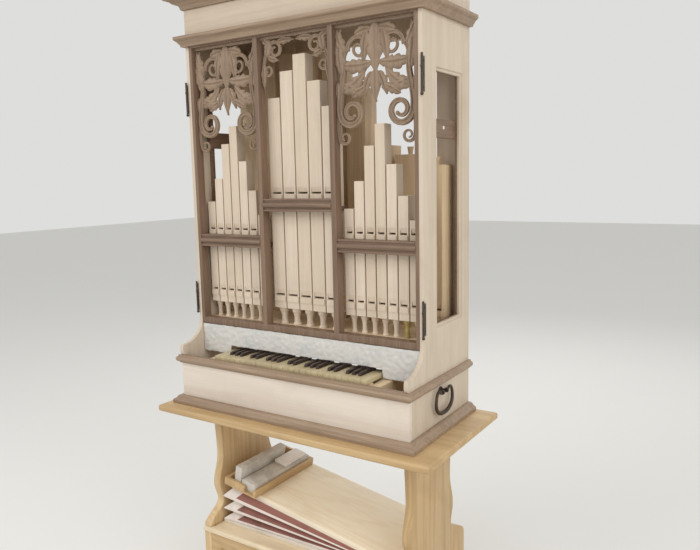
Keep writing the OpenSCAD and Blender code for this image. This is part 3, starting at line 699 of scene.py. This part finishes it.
WALNUT = WoodFinish("dark_walnut", srgb(138, 112, 92), srgb(86, 66, 52), Grain.X, figure=0.45, fibre=0.45,
                    patch=0.3, stain=0.2, stain_tone=srgb(150, 126, 102), rough=0.48, ring_scale=26.0)
FADED_WALNUT = WoodFinish("faded_walnut", srgb(170, 146, 122), srgb(118, 95, 76), Grain.X, figure=0.4,
                          fibre=0.4, patch=0.35, stain=0.3, stain_tone=srgb(132, 108, 88), rough=0.52,
                          ring_scale=26.0, shift=0.8)
CARVED_WALNUT = WoodFinish("carved_screens", srgb(160, 137, 115), srgb(106, 86, 68), Grain.Z, figure=0.3,
                           fibre=0.4, patch=0.3, stain=0.45, stain_tone=srgb(112, 88, 66), rough=0.6,
                           bump=0.5, ring_scale=22.0, shift=5.0)
PIPE_WOOD = WoodFinish("front_pipes", srgb(226, 210, 190), srgb(194, 174, 150), Grain.Z, figure=0.25,
                       fibre=0.3, patch=0.3, stain=0.15, rough=0.55, ring_scale=30.0, tone_step=0.35)
# Rear pipes' tones raised to pale: painted light for the light that falls into the case through the screens;
# the stains mixed in are real.
REAR_PIPE_WOOD_PAINTED_LIGHT = WoodFinish("stained_pipes_painted_light", srgb(222, 196, 160), srgb(180, 152, 118), Grain.Z, figure=0.5,
                            fibre=0.35, stain=0.35, stain_tone=srgb(156, 130, 100), shift=2.0)
# Pale tones for the boards inside the case: painted light for the light that reaches the inside through the
# screens and windows.
INSIDE_WOOD_PAINTED_LIGHT = WoodFinish("inside_boards", srgb(218, 194, 160), srgb(178, 150, 116), Grain.X, figure=0.4,
                         fibre=0.3, rough=0.62)
BOXWOOD = WoodFinish("key_boxwood", srgb(206, 191, 154), srgb(166, 149, 112), Grain.Y, figure=0.3, fibre=0.3,
                     stain=0.35, stain_tone=srgb(150, 130, 102), rough=0.42, tone_step=0.3)
EBONY = WoodFinish("key_ebony", srgb(62, 46, 38), srgb(36, 28, 25), Grain.Y, rough=0.4)
BOARD_LEATHER = LeatherFinish("board_leather", srgb(224, 214, 200), srgb(190, 176, 158))
WHITE_LEATHER = LeatherFinish("white_leather", srgb(232, 222, 214), srgb(198, 184, 172))
RED_BOARD = LeatherFinish("red_fold_board", srgb(150, 100, 88), srgb(112, 78, 66), 0.7, 0.9)
OLD_PAINT = MottledFinish("old_painted_board", srgb(216, 213, 208), srgb(196, 201, 200), srgb(228, 226, 220),
                          0.6, 0.4)
LEAD = MottledFinish("dull_lead", srgb(206, 200, 190), srgb(168, 163, 156), srgb(224, 219, 210), 0.7, 0.8)
STONE = MottledFinish("pale_stone", srgb(238, 234, 228), srgb(214, 208, 200), srgb(246, 244, 240), 0.75, 0.5)
BRASS = MottledFinish("dull_brass", srgb(176, 156, 92), srgb(118, 98, 58), srgb(206, 190, 130), 0.4, 0.5)
STEEL = MottledFinish("bright_steel", srgb(236, 232, 222), srgb(206, 200, 188), srgb(244, 240, 232), 0.45,
                      0.1)
IRON = IronFinish()


@dataclass(frozen=True)
class Board:
    """A node of the frame to show: finish, easing in mm, whether flats are joined and the shading's angle."""

    node: str
    finish: Finish
    ease: float = 1.0
    join_flats: bool = True
    smooth_below: float = 32.0


class Joinery:
    """Boards, mouldings and pipes of the frame, shown with eased edges and planed finishes."""

    pipe_gap = 0.005
    key_gap = 0.001
    side_pipes = 7
    centre_pipes = 5
    naturals = 27
    brass_pipe = 5
    foot_h = 0.0575
    weld = 0.00001
    flat_angle = math.radians(0.3)
    edge_angle = 32
    dent_net = 0.003
    dent_size = 0.016
    dent_depth = 0.0042
    dent_smoothing = 50

    def __init__(self, frame: dict) -> None:
        """Keep the loaded frame and the materials' slots of its nodes."""
        self.frame = frame
        self.slots = {part["node"]: part["material_slot"] for part in frame["record"]["subparts"]}

    def pipes(self, node: str, count: int) -> Board:
        """A row of pipes, each with its own tone."""
        finish = PIPE_WOOD.in_row(node + "_wood", node, count, self.pipe_gap)
        return Board(node, finish, 0.6, join_flats=False, smooth_below=9.0)

    def boards(self) -> list[Board]:
        """List the nodes of the frame that are shown, with their finishes, in their order."""
        inside_x = INSIDE_WOOD_PAINTED_LIGHT.cut("inside_x", Grain.X)
        key_wood = BOXWOOD.in_row(BOXWOOD.name, "natural_keys", self.naturals, self.key_gap)
        fields = (("left", self.side_pipes), ("centre", self.centre_pipes), ("right", self.side_pipes))
        boards = [
            Board("stand_top", PINE.cut("pine_top", Grain.X), 0.8),
            # The left end board takes the lighter pine copy: painted light against the shade under the table
            # top.
            Board("stand_end_left", PINE_PAINTED_LIGHTER.cut("pine_end", Grain.Z, 0.4), 3.0),
            Board("stand_end_right", PINE.cut("pine_end_right", Grain.Z, 0.9), 3.0),
            Board("stand_box_front", PINE.cut("pine_box", Grain.X, 1.7)),
            Board("stand_box_back", PINE.cut("pine_box", Grain.X, 1.7)),
            # The lid's pale finish is painted light.
            Board("stand_box_lid", LID_PINE_PAINTED_LIGHT, 0.6),
            Board("bellows_top_board", BELLOWS_PINE, 1.5),
            Board("weight_tray", PINE.cut("pine_tray", Grain.Y, 4.2)),
            Board("base_moulding", FADED_WALNUT, 0.5),
            Board("key_moulding", FADED_WALNUT, 0.4),
            Board("architrave", FADED_WALNUT, 0.4),
            Board("cornice", FADED_WALNUT, 0.5),
            Board("front_frame", WALNUT.cut("walnut_z", Grain.Z, 0.6), 1.2),
            Board("cross_rails", WALNUT.cut("walnut_x", Grain.X), 0.5),
            Board("toe_boards", WALNUT.cut("walnut_x", Grain.X), 0.8),
            Board("inner_rails", WALNUT.cut("walnut_y", Grain.Y, 1.1)),
            # The base front board's paler maple is painted light.
            Board("base_front_board", MAPLE_PAINTED_LIGHT, 0.8),
            Board("frieze", MAPLE.cut("maple_x", Grain.X), 0.8),
            Board("case_side_left", MAPLE.cut("maple_z", Grain.Z, 0.3)),
            Board("case_side_right", MAPLE.cut("maple_z", Grain.Z, 0.3)),
            Board("case_floor", inside_x),
            Board("key_bed", inside_x),
            Board("key_rails", INSIDE_WOOD_PAINTED_LIGHT.cut("inside_y", Grain.Y)),
            Board("back_frame", MAPLE.cut("maple_back", Grain.Z, 2.6)),
            Board("case_top", inside_x),
            Board("wind_chest", inside_x),
            Board("rear_pipes", REAR_PIPE_WOOD_PAINTED_LIGHT),
            Board("bellows_bottom_board", BOARD_LEATHER, 1.5),
            Board("natural_keys", key_wood, 0.5),
            Board("sharp_keys", EBONY, 0.7),
            Board("nameboard", OLD_PAINT, 0.8),
            Board("door_hinges", IRON, 0.4),
            Board("handle_eyes", IRON, 0.3),
        ]
        for row in ("upper", "lower"):
            for field, count in fields:
                boards.append(self.pipes(f"{row}_pipes_{field}", count))
        return boards

    def soften(self, board: Board) -> Piece:
        """Copy a node's mesh, merge it, ease its edges and put the copy in its place.

        Args:
            board: The node with its finish and easing.

        Returns:
            The shown piece.
        """
        source = self.frame["nodes"][board.node]
        piece = put(board.node + "_shown", source.data.copy())
        with editing(piece):
            bpy.ops.mesh.remove_doubles(threshold=self.weld)
            if board.join_flats:
                bpy.ops.mesh.dissolve_limited(angle_limit=self.flat_angle)
        easing = piece.modifiers.new("easing", "BEVEL")
        easing.width = board.ease * MM
        easing.segments = 2
        easing.limit_method = "ANGLE"
        easing.angle_limit = math.radians(self.edge_angle)
        easing.use_clamp_overlap = True
        apply_modifiers(piece)
        dress(piece, board.finish.material())
        smooth(piece, board.smooth_below)
        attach(piece, source["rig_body"])
        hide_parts(board.node)
        return piece

    def brass_foot(self, row: Piece) -> None:
        """Dress the foot of one pipe of a lower row in brass, as the photo shows it.

        Args:
            row: The shown row of pipes.
        """
        low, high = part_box("lower_pipes_right")
        pitch = (high.x - low.x + self.pipe_gap) / self.side_pipes
        start = low.x + self.brass_pipe * pitch
        row.data.materials.append(BRASS.material())
        for face in row.data.polygons:
            if start < face.center.x < start + pitch and face.center.z < low.z + self.foot_h:
                face.material_index = 1
        log.info("%s: brass foot on pipe %d", row.name, self.brass_pipe + 1)

    def crumple(self, board: Piece) -> None:
        """Give a board's faces the shallow dents and folds of old, loose paint.

        Args:
            board: The shown board.
        """
        net = board.modifiers.new("net", "REMESH")
        net.mode = "VOXEL"
        net.voxel_size = self.dent_net
        dents = board.modifiers.new("dents", "DISPLACE")
        dents.texture = bpy.data.textures.new("paint_dents", "CLOUDS")
        dents.texture.noise_scale = self.dent_size
        dents.texture.noise_depth = 2
        dents.mid_level = 1.0
        dents.strength = self.dent_depth
        apply_modifiers(board)
        smooth(board, self.dent_smoothing)
        log.info("%s: %d faces with dents", board.name, len(board.data.polygons))

    def weights(self) -> None:
        """Show the bellows' weights: two bars of dull lead and a smaller pale stone on top."""
        with editing(self.soften(Board("bellows_weights", LEAD, 2.0))):
            bpy.ops.mesh.separate(type="LOOSE")
        bars = sorted(bpy.context.selected_objects, key=lambda bar: bar.dimensions.length)
        for bar in bars:
            dress(bar, (STONE if bar is bars[0] else LEAD).material())
            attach(bar, "bellows_top")
            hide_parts("bellows_weights")
        log.info("bellows_weights: %d bars", len(bars))

    def build(self) -> None:
        """Show every board."""
        for board in self.boards():
            piece = self.soften(board)
            report(piece)
            if board.node == "lower_pipes_right":
                self.brass_foot(piece)
            if board.node == "nameboard":
                self.crumple(piece)
        self.weights()


@dataclass(frozen=True)
class Spiral:
    """A carved band that rolls up: centre, radii, turns, width, end angle and hand, in mm and degrees."""

    centre: Point
    inner: float
    outer: float
    turns: float
    width: float
    end: float
    hand: int
    steps_per_turn = 20

    def path(self) -> list[Triple]:
        """Points along the band's middle, each with the band's width there."""
        count = round(self.steps_per_turn * self.turns)
        sweep = self.hand * 360 * self.turns
        start = self.end - sweep
        points = []
        for i in range(count + 1):
            u = i / count
            angle = math.radians(start + sweep * u)
            reach = self.inner + (self.outer - self.inner) * u
            points.append((self.centre[0] + reach * math.cos(angle), self.centre[1] + reach * math.sin(angle),
                           self.width * (0.5 + 0.5 * u)))
        return points


@dataclass(frozen=True)
class Stem:
    """A carved band along a curve with four guide points, from one width to another, in mm."""

    guides: tuple[Point, Point, Point, Point]
    first: float
    last: float
    steps = 10

    def path(self) -> list[Triple]:
        """Points along the band's middle, each with the band's width there."""
        points = []
        for i in range(self.steps + 1):
            u = i / self.steps
            share = ((1 - u) ** 3, 3 * u * (1 - u) ** 2, 3 * u * u * (1 - u), u ** 3)
            x = sum(k * g[0] for k, g in zip(share, self.guides))
            z = sum(k * g[1] for k, g in zip(share, self.guides))
            points.append((x, z, self.first + (self.last - self.first) * u))
        return points


@dataclass(frozen=True)
class Leaf:
    """A carved leaf: its start, the way it heads, its length, width, bend and lobes, in mm and degrees."""

    start: Point
    head: float
    length: float
    width: float
    bend: float
    lobes: int
    belly = 0.75
    notch = 0.42
    least = 1.5
    crown_h = 7.5
    rib_depth = 0.55
    rib_width = 0.16
    vein_depth = 0.4

    def place(self, u: float, w: float) -> Triple:
        """Point of the leaf's face at a share of its length and from edge to edge.

        Args:
            u: Share of the length, 0 at the start.
            w: Place across, -1 to 1.

        Returns:
            The two flat coordinates and the height of the face above its edge.
        """
        lobe = (u * self.lobes) % 1.0
        swell = math.sin(math.pi * u ** self.belly)
        half = self.width / 2 * swell * (1 - self.notch * lobe ** 2) + self.least
        along = math.radians(self.head + self.bend * u / 2)
        facing = math.radians(self.head + self.bend * u)
        x = self.start[0] + self.length * u * math.cos(along) - w * half * math.sin(facing)
        z = self.start[1] + self.length * u * math.sin(along) + w * half * math.cos(facing)
        crown = math.sqrt(max(0.0, 1 - w * w))
        rib = 1.0 - self.rib_depth * math.exp(-(w / self.rib_width) ** 2)
        vein = 1.0 - self.vein_depth * lobe ** 4 * abs(w)
        return x, z, (self.least + self.crown_h * swell) * crown * rib * vein


Item = Spiral | Stem | Leaf


class Carver:
    """Carves the pierced screens: fluted scrolls, stems and ribbed leaves in relief on an open ground."""

    band = 20.0
    depth = 0.013
    strip = 0.008
    lobe_net = 7
    cross_net = 8
    leaf_share = 0.5
    eye_share = 0.62
    eye_lift = 0.002
    eye_flat = 0.9
    side_clear = 0.0002
    top_clear = 0.0001
    smooth_below = 38

    def __init__(self, slots: dict[str, str]) -> None:
        """Keep the materials' slots."""
        self.slots = slots

    def side_half(self) -> list[Item]:
        """Right half of a side field's screen."""
        b = self.band
        return [
            Spiral((84, -262), 14, 43, 1.4, b, 8, 1),
            Stem(((127, -258), (132, -215), (108, -165), (112, -120)), b, b * 0.75),
            Stem(((112, -124), (116, -92), (108, -84), (97, -72)), b * 0.75, b * 0.6),
            Spiral((58, -74), 9, 39, 1.4, b * 0.65, -8, -1),
            Spiral((110, -336), 8, 21, 1.2, b * 0.5, 8, 1),
            Stem(((124, -256), (135, -280), (134, -310), (131, -334)), b * 0.7, b * 0.5),
            Leaf((114, -150), 70, 138, 44, 34, 4), Leaf((118, -196), 172, 104, 44, -56, 4),
            Leaf((112, -120), 196, 108, 44, -36, 4), Leaf((70, -36), 150, 66, 32, 40, 3),
            Leaf((84, -216), 146, 72, 28, 14, 3), Leaf((132, -168), -86, 62, 20, -14, 2),
            Leaf((26, -22), -74, 104, 32, -16, 3), Leaf((106, -84), 54, 80, 36, 30, 3),
            Leaf((12, -146), -58, 74, 30, -24, 3), Leaf((116, -176), 206, 84, 34, -10, 3),
        ]

    def side_middle(self) -> list[Leaf]:
        """Palmette and hanging bud on a side screen's middle line."""
        return [Leaf((0, -4), -90, 150, 66, 0, 4), Leaf((0, -136), -90, 100, 42, 0, 1)]

    def centre_half(self) -> list[Item]:
        """Right half of the centre field's screen."""
        b = self.band
        return [
            Spiral((80, -44), 8, 30, 1.3, b * 0.65, -8, -1),
            Stem(((110, -40), (122, -60), (128, -90), (131, -103)), b * 0.65, b * 0.5),
            Spiral((110, -105), 6, 20, 1.2, b * 0.5, 8, 1),
            Leaf((124, -84), -82, 78, 24, -8, 3), Leaf((100, -26), 30, 46, 26, 20, 2),
            Leaf((70, -20), 170, 66, 24, 16, 3), Leaf((112, -64), 96, 60, 34, 10, 2),
            Leaf((108, -62), 214, 44, 22, -30, 2),
        ]

    def _profile(self) -> Piece:
        """Cross-section of a band: flat behind, hollow between two rounded edges in front."""
        half, front, back = self.band / 2 * MM, self.depth / 2, -self.depth / 2
        left = ((-1, back), (-1, front * 0.5), (-0.8, front), (-0.55, front), (-0.2, front * 0.3))
        outline = (*left, *((-x, y) for x, y in left[::-1]))
        data = trace("band_profile", [((x * half, y, 0.0), 1.0) for x, y in outline])
        data.splines[0].use_cyclic_u = True
        return put("band_profile", data)

    def _band(self, path: list[Triple], profile: Piece) -> Piece:
        """Sweep the profile along a path, its size following the band's width.

        Args:
            path: Points with widths, in mm.
            profile: The cross-section.

        Returns:
            The band as a mesh, drawn in the XY plane with its face up.
        """
        data = trace("band", [((x * MM, y * MM, 0.0), width / self.band) for x, y, width in path])
        data.bevel_mode = "OBJECT"
        data.bevel_object = profile
        data.use_fill_caps = True
        return as_mesh(put("band", data))

    def _leaf(self, leaf: Leaf) -> Piece:
        """Model one leaf: a grid shaped to its outline and relief, then thickened.

        Args:
            leaf: The leaf's shape.

        Returns:
            The leaf as a mesh, drawn in the XY plane with its face up.
        """
        clear_selection()
        bpy.ops.mesh.primitive_grid_add(size=2.0, x_subdivisions=leaf.lobes * self.lobe_net,
                                        y_subdivisions=self.cross_net)
        piece = bpy.context.object
        for vertex in piece.data.vertices:
            x, y, height = leaf.place((vertex.co.x + 1) / 2, vertex.co.y)
            vertex.co = (x * MM, y * MM, height * MM)
        shell = piece.modifiers.new("thickness", "SOLIDIFY")
        shell.thickness = self.depth * self.leaf_share
        shell.offset = -1.0
        apply_modifiers(piece)
        return piece

    def _eye(self, spiral: Spiral) -> Piece:
        """Button in the eye of a spiral."""
        x, y, width = spiral.path()[0]
        clear_selection()
        bpy.ops.mesh.primitive_uv_sphere_add(segments=14, ring_count=8, radius=width * self.eye_share * MM,
                                             location=(x * MM, y * MM, self.eye_lift),
                                             scale=(1, 1, self.eye_flat))
        return settle(bpy.context.object)

    def _half(self, items: list[Item], profile: Piece) -> Piece:
        """Model every item of one half and join them."""
        parts = []
        for item in items:
            parts.append(self._leaf(item) if isinstance(item, Leaf) else self._band(item.path(), profile))
            if isinstance(item, Spiral):
                parts.append(self._eye(item))
        return join(parts, "half")

    def _screen(self, node: str, half: list[Item], middle: list[Leaf]) -> None:
        """Model one screen, both halves alike, and put it in its field.

        Args:
            node: The frame's node that the screen takes the place of.
            half: Items of the right half.
            middle: Items on the middle line.
        """
        low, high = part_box(node)
        profile = self._profile()
        right = self._half(half, profile)
        take(right)
        bpy.ops.object.duplicate()
        left = bpy.context.object
        bpy.ops.transform.mirror(constraint_axis=(True, False, False))
        normals_out(settle(left))
        clear_selection()
        width = high.x - low.x
        bpy.ops.mesh.primitive_cube_add(size=1.0, location=(0, -self.strip / 2, 0),
                                        scale=(width, self.strip, self.depth))
        strip = settle(bpy.context.object)
        piece = join([right, left, strip, *(self._leaf(leaf) for leaf in middle)], node + "_carving")
        bpy.data.objects.remove(profile)
        inside = width / 2 - self.side_clear
        for vertex in piece.data.vertices:
            vertex.co.x = max(-inside, min(inside, vertex.co.x))
            vertex.co.y = min(-self.top_clear, vertex.co.y)
        normals_out(piece)
        piece.rotation_euler = (QUARTER, 0, 0)
        piece.location = ((low.x + high.x) / 2, (low.y + high.y) / 2, high.z)
        settle(piece)
        dress(piece, CARVED_WALNUT.material())
        smooth(piece, self.smooth_below)
        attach(piece, "organ")
        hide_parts(node)
        report(piece)

    def build(self) -> None:
        """Carve the three screens."""
        self._screen("screen_left", self.side_half(), self.side_middle())
        self._screen("screen_centre", self.centre_half(), [])
        self._screen("screen_right", self.side_half(), self.side_middle())


@dataclass
class FoldShape:
    """Sizes of the bellows' folds, in metres and degrees, and shares of a panel's height or length."""

    reach: float = 0.030
    angle: float = 9.7
    closed_end: float = 0.024
    gap: float = 0.0003
    levels: tuple[tuple[float, float], ...] = ((0, 1), (0.16, 0), (0.33, 1), (0.53, 0), (0.72, 1), (1, 0))
    gusset: float = 0.050
    strip: float = 0.24
    board: float = 0.0014
    stations: int = 16
    right_reach: float = 0.35
    tuck: float = 0.08
    far_gusset: float = 1.7
    most_gusset: float = 0.3
    weld: float = 0.00002
    smooth_below: float = 20


class BellowsFolds:
    """The bellows' folds: reddish fold boards, and pale leather over the outer creases and at the corners."""

    joint = "bellows_hinge"

    def __init__(self, frame: dict, slots: dict[str, str], shape: FoldShape) -> None:
        """Read the hinge's place from the frame's record."""
        self.slots, self.shape = slots, shape
        joints = frame["record"]["behaviour"]["joints"]
        self.hinge = Vector(next(j for j in joints if j["name"] == self.joint)["pos_m"])

    def _ring(self, level: float, out: float) -> list[Vector]:
        """Four corners of the skin at a share of the wedge's height, from front left round."""
        s = self.shape
        low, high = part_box("bellows_folds")
        slope = math.tan(math.radians(s.angle))
        reach = s.reach * out

        def corner(x: float, y: float) -> Vector:
            """One corner at its height."""
            return Vector((x, y, self.hinge.z + s.gap + level * ((self.hinge.x - x) * slope - 2 * s.gap)))

        x_left, x_right = low.x + s.reach - reach, self.hinge.x - s.closed_end
        front, back = low.y + s.reach, high.y - s.reach
        right_reach = reach * s.right_reach
        return [corner(x_left, front - reach), corner(x_right, front - right_reach),
                corner(x_right, back + right_reach), corner(x_left, back + reach)]

    def _skin(self) -> tuple[list[Vector], list[tuple[int, ...]], list[bool]]:
        """Lay out the skin panel by panel.

        Returns:
            The points, the faces and whether each face is a fold board.
        """
        s = self.shape
        vertices: list[Vector] = []
        faces: list[tuple[int, ...]] = []
        boards: list[bool] = []
        rings = [self._ring(level, out) for level, out in s.levels]
        for k in range(len(rings) - 1):
            lower, upper = rings[k], rings[k + 1]
            crease_up = s.levels[k + 1][1] > s.levels[k][1]
            steps = (0.0, s.tuck, 1 - s.strip, 1.0) if crease_up else (0.0, s.strip, 1 - s.tuck, 1.0)
            for i in range(4):
                j = (i + 1) % 4
                length = (lower[j] - lower[i]).length
                edge = min(s.most_gusset, s.gusset / length)
                last = 1 - min(s.most_gusset, s.far_gusset * s.gusset / length)
                inner = [edge + (last - edge) * q / s.stations for q in range(s.stations + 1)]
                shares = [0.0, *inner, 1.0]
                base = len(vertices)
                for t in steps:
                    for u in shares:
                        vertices.append(lower[i].lerp(lower[j], u).lerp(upper[i].lerp(upper[j], u), t))
                row = len(shares)
                for a in range(3):
                    for q in range(row - 1):
                        at = base + a * row + q
                        faces.append((at, at + 1, at + row + 1, at + row))
                        boards.append(a == 1 and 0 < q < row - 2 and i != 1)
        for ring in (rings[0][::-1], rings[-1]):
            base = len(vertices)
            vertices += ring
            faces.append(tuple(range(base, base + 4)))
            boards.append(False)
        return vertices, faces, boards

    def build(self) -> None:
        """Model the skin and raise the fold boards."""
        vertices, faces, boards = self._skin()
        mesh = bpy.data.meshes.new("bellows_skin")
        mesh.from_pydata([tuple(v) for v in vertices], [], faces)
        piece = put("bellows_skin", mesh)
        mesh.materials.append(WHITE_LEATHER.material())
        mesh.materials.append(RED_BOARD.material())
        for face, board in zip(mesh.polygons, boards):
            face.material_index = int(board)
        with editing(piece):
            bpy.ops.mesh.remove_doubles(threshold=self.shape.weld)
            bpy.ops.mesh.normals_make_consistent(inside=False)
        for face in mesh.polygons:
            face.select = face.material_index == 1
        bpy.ops.object.mode_set(mode="EDIT")
        bpy.ops.mesh.select_mode(type="FACE")
        bpy.ops.mesh.extrude_region_shrink_fatten(TRANSFORM_OT_shrink_fatten={"value": self.shape.board})
        bpy.ops.mesh.select_mode(type="VERT")
        bpy.ops.object.mode_set(mode="OBJECT")
        smooth(piece, self.shape.smooth_below)
        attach(piece, "organ")
        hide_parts("bellows_folds")
        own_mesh(piece)
        report(piece)


@dataclass
class BailShape:
    """Sizes of a drop handle, in millimetres, and shares of the rod's thickness."""

    rod: float = 6.5
    width: float = 138.0
    height: float = 74.0
    start: float = 23.5
    pin: float = 3.4
    eye_span: float = 11.0
    pin_overlap: float = 2.0
    knob: float = 0.72
    end: float = 0.6
    turn: float = 0.78
    smooth_below: float = 50


class DropHandle:
    """A wrought drop handle: a heart-shaped bail whose ends curl in to the pins."""

    def __init__(self, frame: dict, slots: dict[str, str], shape: BailShape) -> None:
        """Keep the record's joints, which give the handles' places."""
        self.joints = {j["name"]: j for j in frame["record"]["behaviour"]["joints"]}
        self.slots, self.shape = slots, shape

    def _path(self) -> list[Triple]:
        """Points of the right half from curl to grip: place across, height and share of the thickness."""
        s = self.shape
        low, wide = s.height - s.rod, s.width / 2 - s.rod
        shoulder = (wide * 0.92, -low * 0.3)
        curl = Stem(((s.start, 0), (s.start + 14, 14), (wide * 0.86, 8), shoulder), s.end, s.turn)
        grip = Stem((shoulder, (wide, -low * 0.72), (wide * 0.66, -low), (0, -low)), s.turn, 1.0)
        return curl.path() + grip.path()[1:]

    def _bail(self) -> Piece:
        """Sweep a round rod along both halves of the bail."""
        s = self.shape
        right = self._path()
        path = right + [(-x, z, share) for x, z, share in right[-2::-1]]
        data = trace("bail", [((0.0, y * MM, z * MM), share) for y, z, share in path], flat=False)
        data.bevel_depth = s.rod * MM
        data.bevel_resolution = 3
        data.use_fill_caps = True
        parts = [as_mesh(put("bail", data))]
        for side in (-1, 1):
            middle = side * (s.start + s.eye_span) / 2
            clear_selection()
            length = s.start - s.eye_span + s.pin_overlap
            bpy.ops.mesh.primitive_cylinder_add(vertices=16, radius=s.pin * MM, depth=length * MM,
                                                location=(0, middle * MM, 0), rotation=(QUARTER, 0, 0))
            parts.append(settle(bpy.context.object))
            bpy.ops.mesh.primitive_uv_sphere_add(segments=16, ring_count=10, radius=s.rod * s.knob * MM,
                                                 location=(0, side * s.start * MM, 0))
            parts.append(settle(bpy.context.object))
        return join(parts, "bail")

    def build(self) -> None:
        """Hang a bail in the eyes on each side."""
        for joint, node, body in (("handle_left_swing", "handle_left", "handle_l"),
                                  ("handle_right_swing", "handle_right", "handle_r")):
            piece = self._bail()
            piece.name = node + "_bail"
            piece.location = self.joints[joint]["pos_m"]
            settle(piece)
            dress(piece, IRON.material())
            smooth(piece, self.shape.smooth_below)
            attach(piece, body)
            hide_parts(node)
            report(piece)


@dataclass(frozen=True)
class ScrewShape:
    """Size and place of the screw on the outer face of each rail, and shares of the head's height."""

    head_r: float = 0.0055
    head_h: float = 0.0024
    slot_w: float = 0.0012
    inset: float = 0.008
    y: float = 0.092
    z: float = 1.699
    edge: float = 0.0003
    proud: float = 0.45
    slot_at: float = 0.6


class RailScrews:
    """Slotted screws in the outer faces of the rails across the windows."""

    def __init__(self, slots: dict[str, str], shape: ScrewShape) -> None:
        """Keep the materials' slots and the sizes."""
        self.slots = slots
        self.shape = shape

    def _screw(self, name: str, place: Triple, side: int) -> Piece:
        """Model one screw head with eased edges and a slot.

        Args:
            name: The piece's name.
            place: Centre of the head on the rail's face.
            side: 1 for a face toward +x, -1 for one toward -x.

        Returns:
            The screw head.
        """
        clear_selection()
        s = self.shape
        bpy.ops.mesh.primitive_cylinder_add(vertices=24, radius=s.head_r, depth=s.head_h, location=place,
                                            rotation=(0, QUARTER * side, 0))
        head = settle(bpy.context.object)
        head.name = name
        slot_place = (place[0] + side * s.head_h * s.slot_at, place[1], place[2])
        bpy.ops.mesh.primitive_cube_add(size=1.0, location=slot_place,
                                        scale=(s.head_h, s.slot_w, s.head_r * 3))
        cutter = settle(bpy.context.object)
        take(head)
        groove = head.modifiers.new("groove", "BOOLEAN")
        groove.operation = "DIFFERENCE"
        groove.solver = "EXACT"
        groove.object = cutter
        edge = head.modifiers.new("edge", "BEVEL")
        edge.width = s.edge
        edge.segments = 2
        apply_modifiers(head)
        bpy.data.objects.remove(cutter, do_unlink=True)
        dress(head, STEEL.material())
        smooth(head)
        return head

    def build(self) -> None:
        """Set one screw in each rail's outer face."""
        s = self.shape
        low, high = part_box("inner_rails")
        for side, end, face in ((-1, "left", low.x + s.inset), (1, "right", high.x - s.inset)):
            name = f"rail_screw_{end}"
            head = self._screw(name, (face + side * s.head_h * s.proud, s.y, s.z), side)
            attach(head, "organ")
            report(head)


def main() -> None:
    """Build the organ's looks in order."""
    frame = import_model()
    bpy.context.scene.view_settings.view_transform = "Standard"
    Camera().build()
    Studio().build()
    joinery = Joinery(frame)
    joinery.build()
    Carver(joinery.slots).build()
    BellowsFolds(frame, joinery.slots, FoldShape()).build()
    DropHandle(frame, joinery.slots, BailShape()).build()
    RailScrews(joinery.slots, ScrewShape()).build()


if __name__ == "__main__":
    main()
